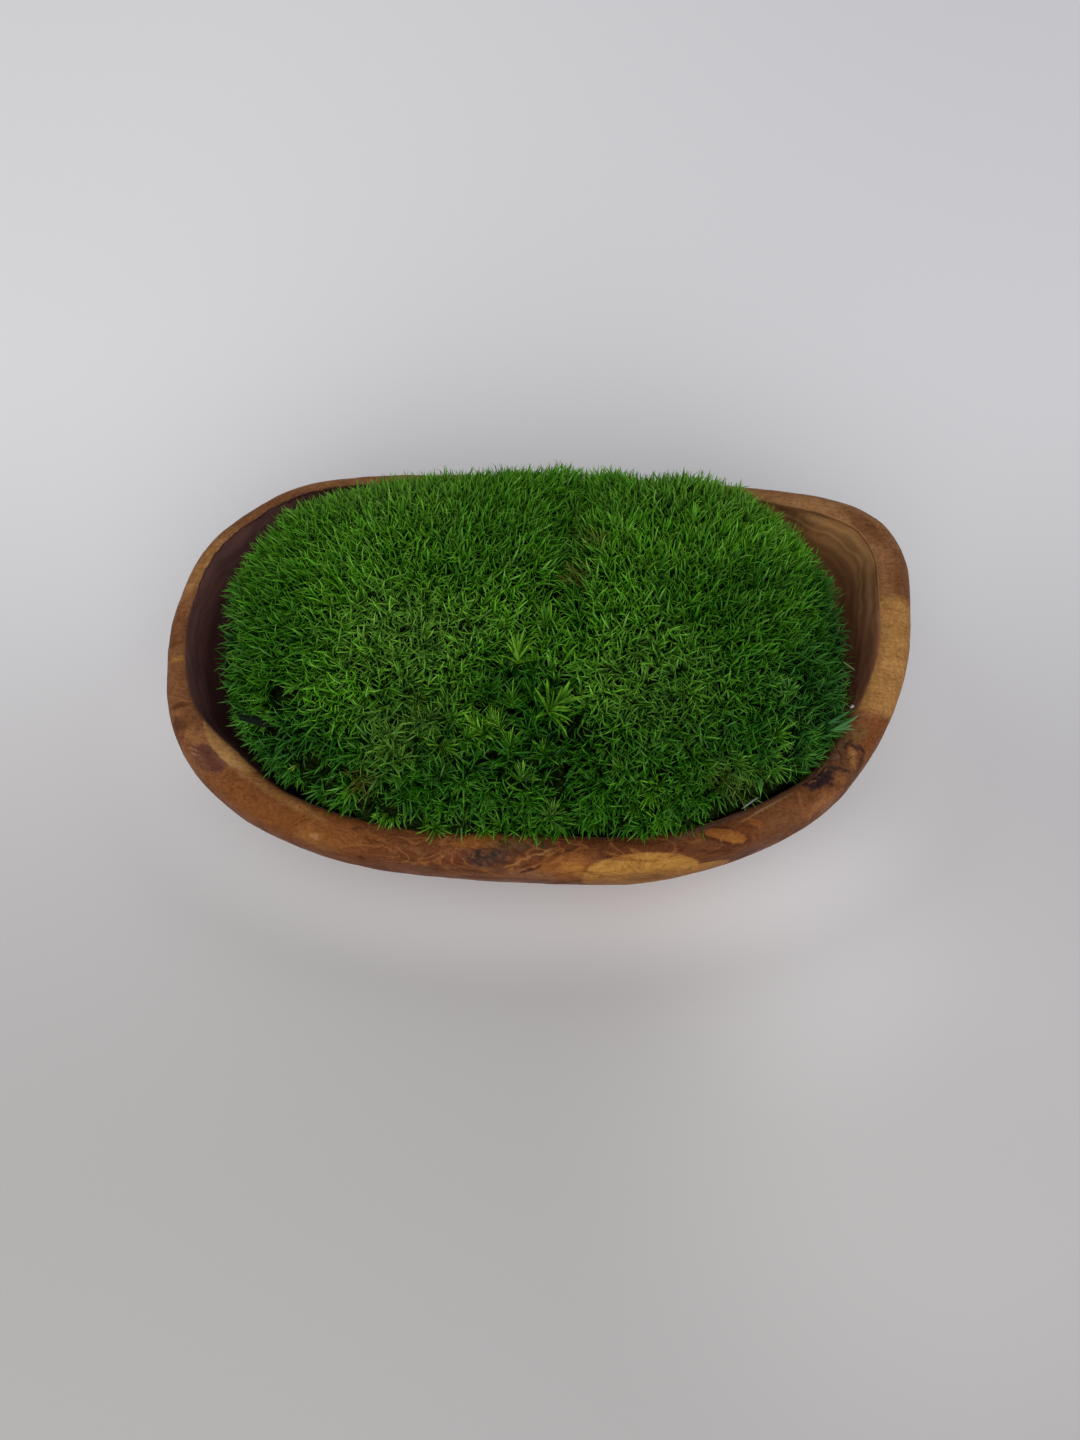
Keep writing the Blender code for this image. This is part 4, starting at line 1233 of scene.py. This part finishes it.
def floor_material():
    """A pale floor with painted light: lighter away from the viewer and to the left, and lighter around the foot of
    the bowl and at two spots before it.
    """
    material, tree, surface = new_material("pale_floor_with_painted_light", 0.8, 0.1)
    place = place_of(tree)
    x, y, _ = put(tree, "ShaderNodeSeparateXYZ", {0: place}).outputs
    # painted light: lighter away from the viewer and towards the left, as the light falls off
    colour = blended(tree, ramped(tree, y, -0.16, 0.2), (0.46, 0.44, 0.435), (0.755, 0.745, 0.76))
    colour = blended(tree, ramped(tree, x, -0.2, 0.25), colour, (0.9, 0.9, 0.91), STAIN)
    # painted light around the foot of the bowl, where its shadow would fall
    from_bowl = vectors(tree, "LENGTH", vectors(tree, "DIVIDE", place, BOWL_PLAN))
    painted_light_near_bowl = maths(tree, "MAXIMUM", ramped(tree, y, -0.02, -0.08, 0.20, 0.50),
                       ramped(tree, y, 0.03, 0.08, 0.20, 0.42))
    lift = maths(tree, "MULTIPLY_ADD", ramped(tree, from_bowl, 1.38, 0.9), painted_light_near_bowl, 1.0)
    # painted light: two brighter spots before the bowl
    for centre, far, near, most in (((0.13, -0.13, 0), 0.14, 0.03, 1.20), ((0.085, -0.075, 0), 0.07, 0.0, 1.14)):
        distance = vectors(tree, "DISTANCE", place, centre)
        lift = times(tree, lift, ramped(tree, distance, far, near, 1.0, most))
    dress(tree, surface, vectors(tree, "SCALE", colour, lift))
    return material


half = FLOOR_SIDE / 2
mesh = bpy.data.meshes.new("floor")
mesh.from_pydata([(-half, -half, 0), (half, -half, 0), (half, half, 0), (-half, half, 0)], [], [(0, 1, 2, 3)])
mesh.materials.append(floor_material())
in_scene("floor", mesh)

world = bpy.data.worlds.new("room")
bpy.context.scene.world = world
world.use_nodes = True
sky = world.node_tree.nodes["Background"].inputs
sky["Color"].default_value = (0.95, 0.97, 1.0, 1)
sky["Strength"].default_value = ROOM_LIGHT
for name, where, side, power in (("ceiling", (-0.10, 0.25, 1.5), 2.0, 8), ("window", (0.05, -1.5, 0.75), 1.8, 26)):
    light = in_scene(name, bpy.data.lights.new(name, "AREA"))
    light.data.size = side
    light.data.energy = power
    light.location = where
    light.rotation_euler = (-Vector(where)).to_track_quat("-Z", "Y").to_euler()
bpy.context.scene.view_settings.view_transform = "Standard"
print("stage: floor", FLOOR_SIDE, "m wide, two soft lights")

# %% [markdown]
# ## The end
# The single leaves were only patterns, so they go.

# %% The end
for shapes in (CUSHION_LEAVES, STAR_LEAVES, YOUNG_LEAVES, BROAD_LEAVES):
    for leaf in list(shapes.objects):
        bpy.data.objects.remove(leaf)
    bpy.data.collections.remove(shapes)
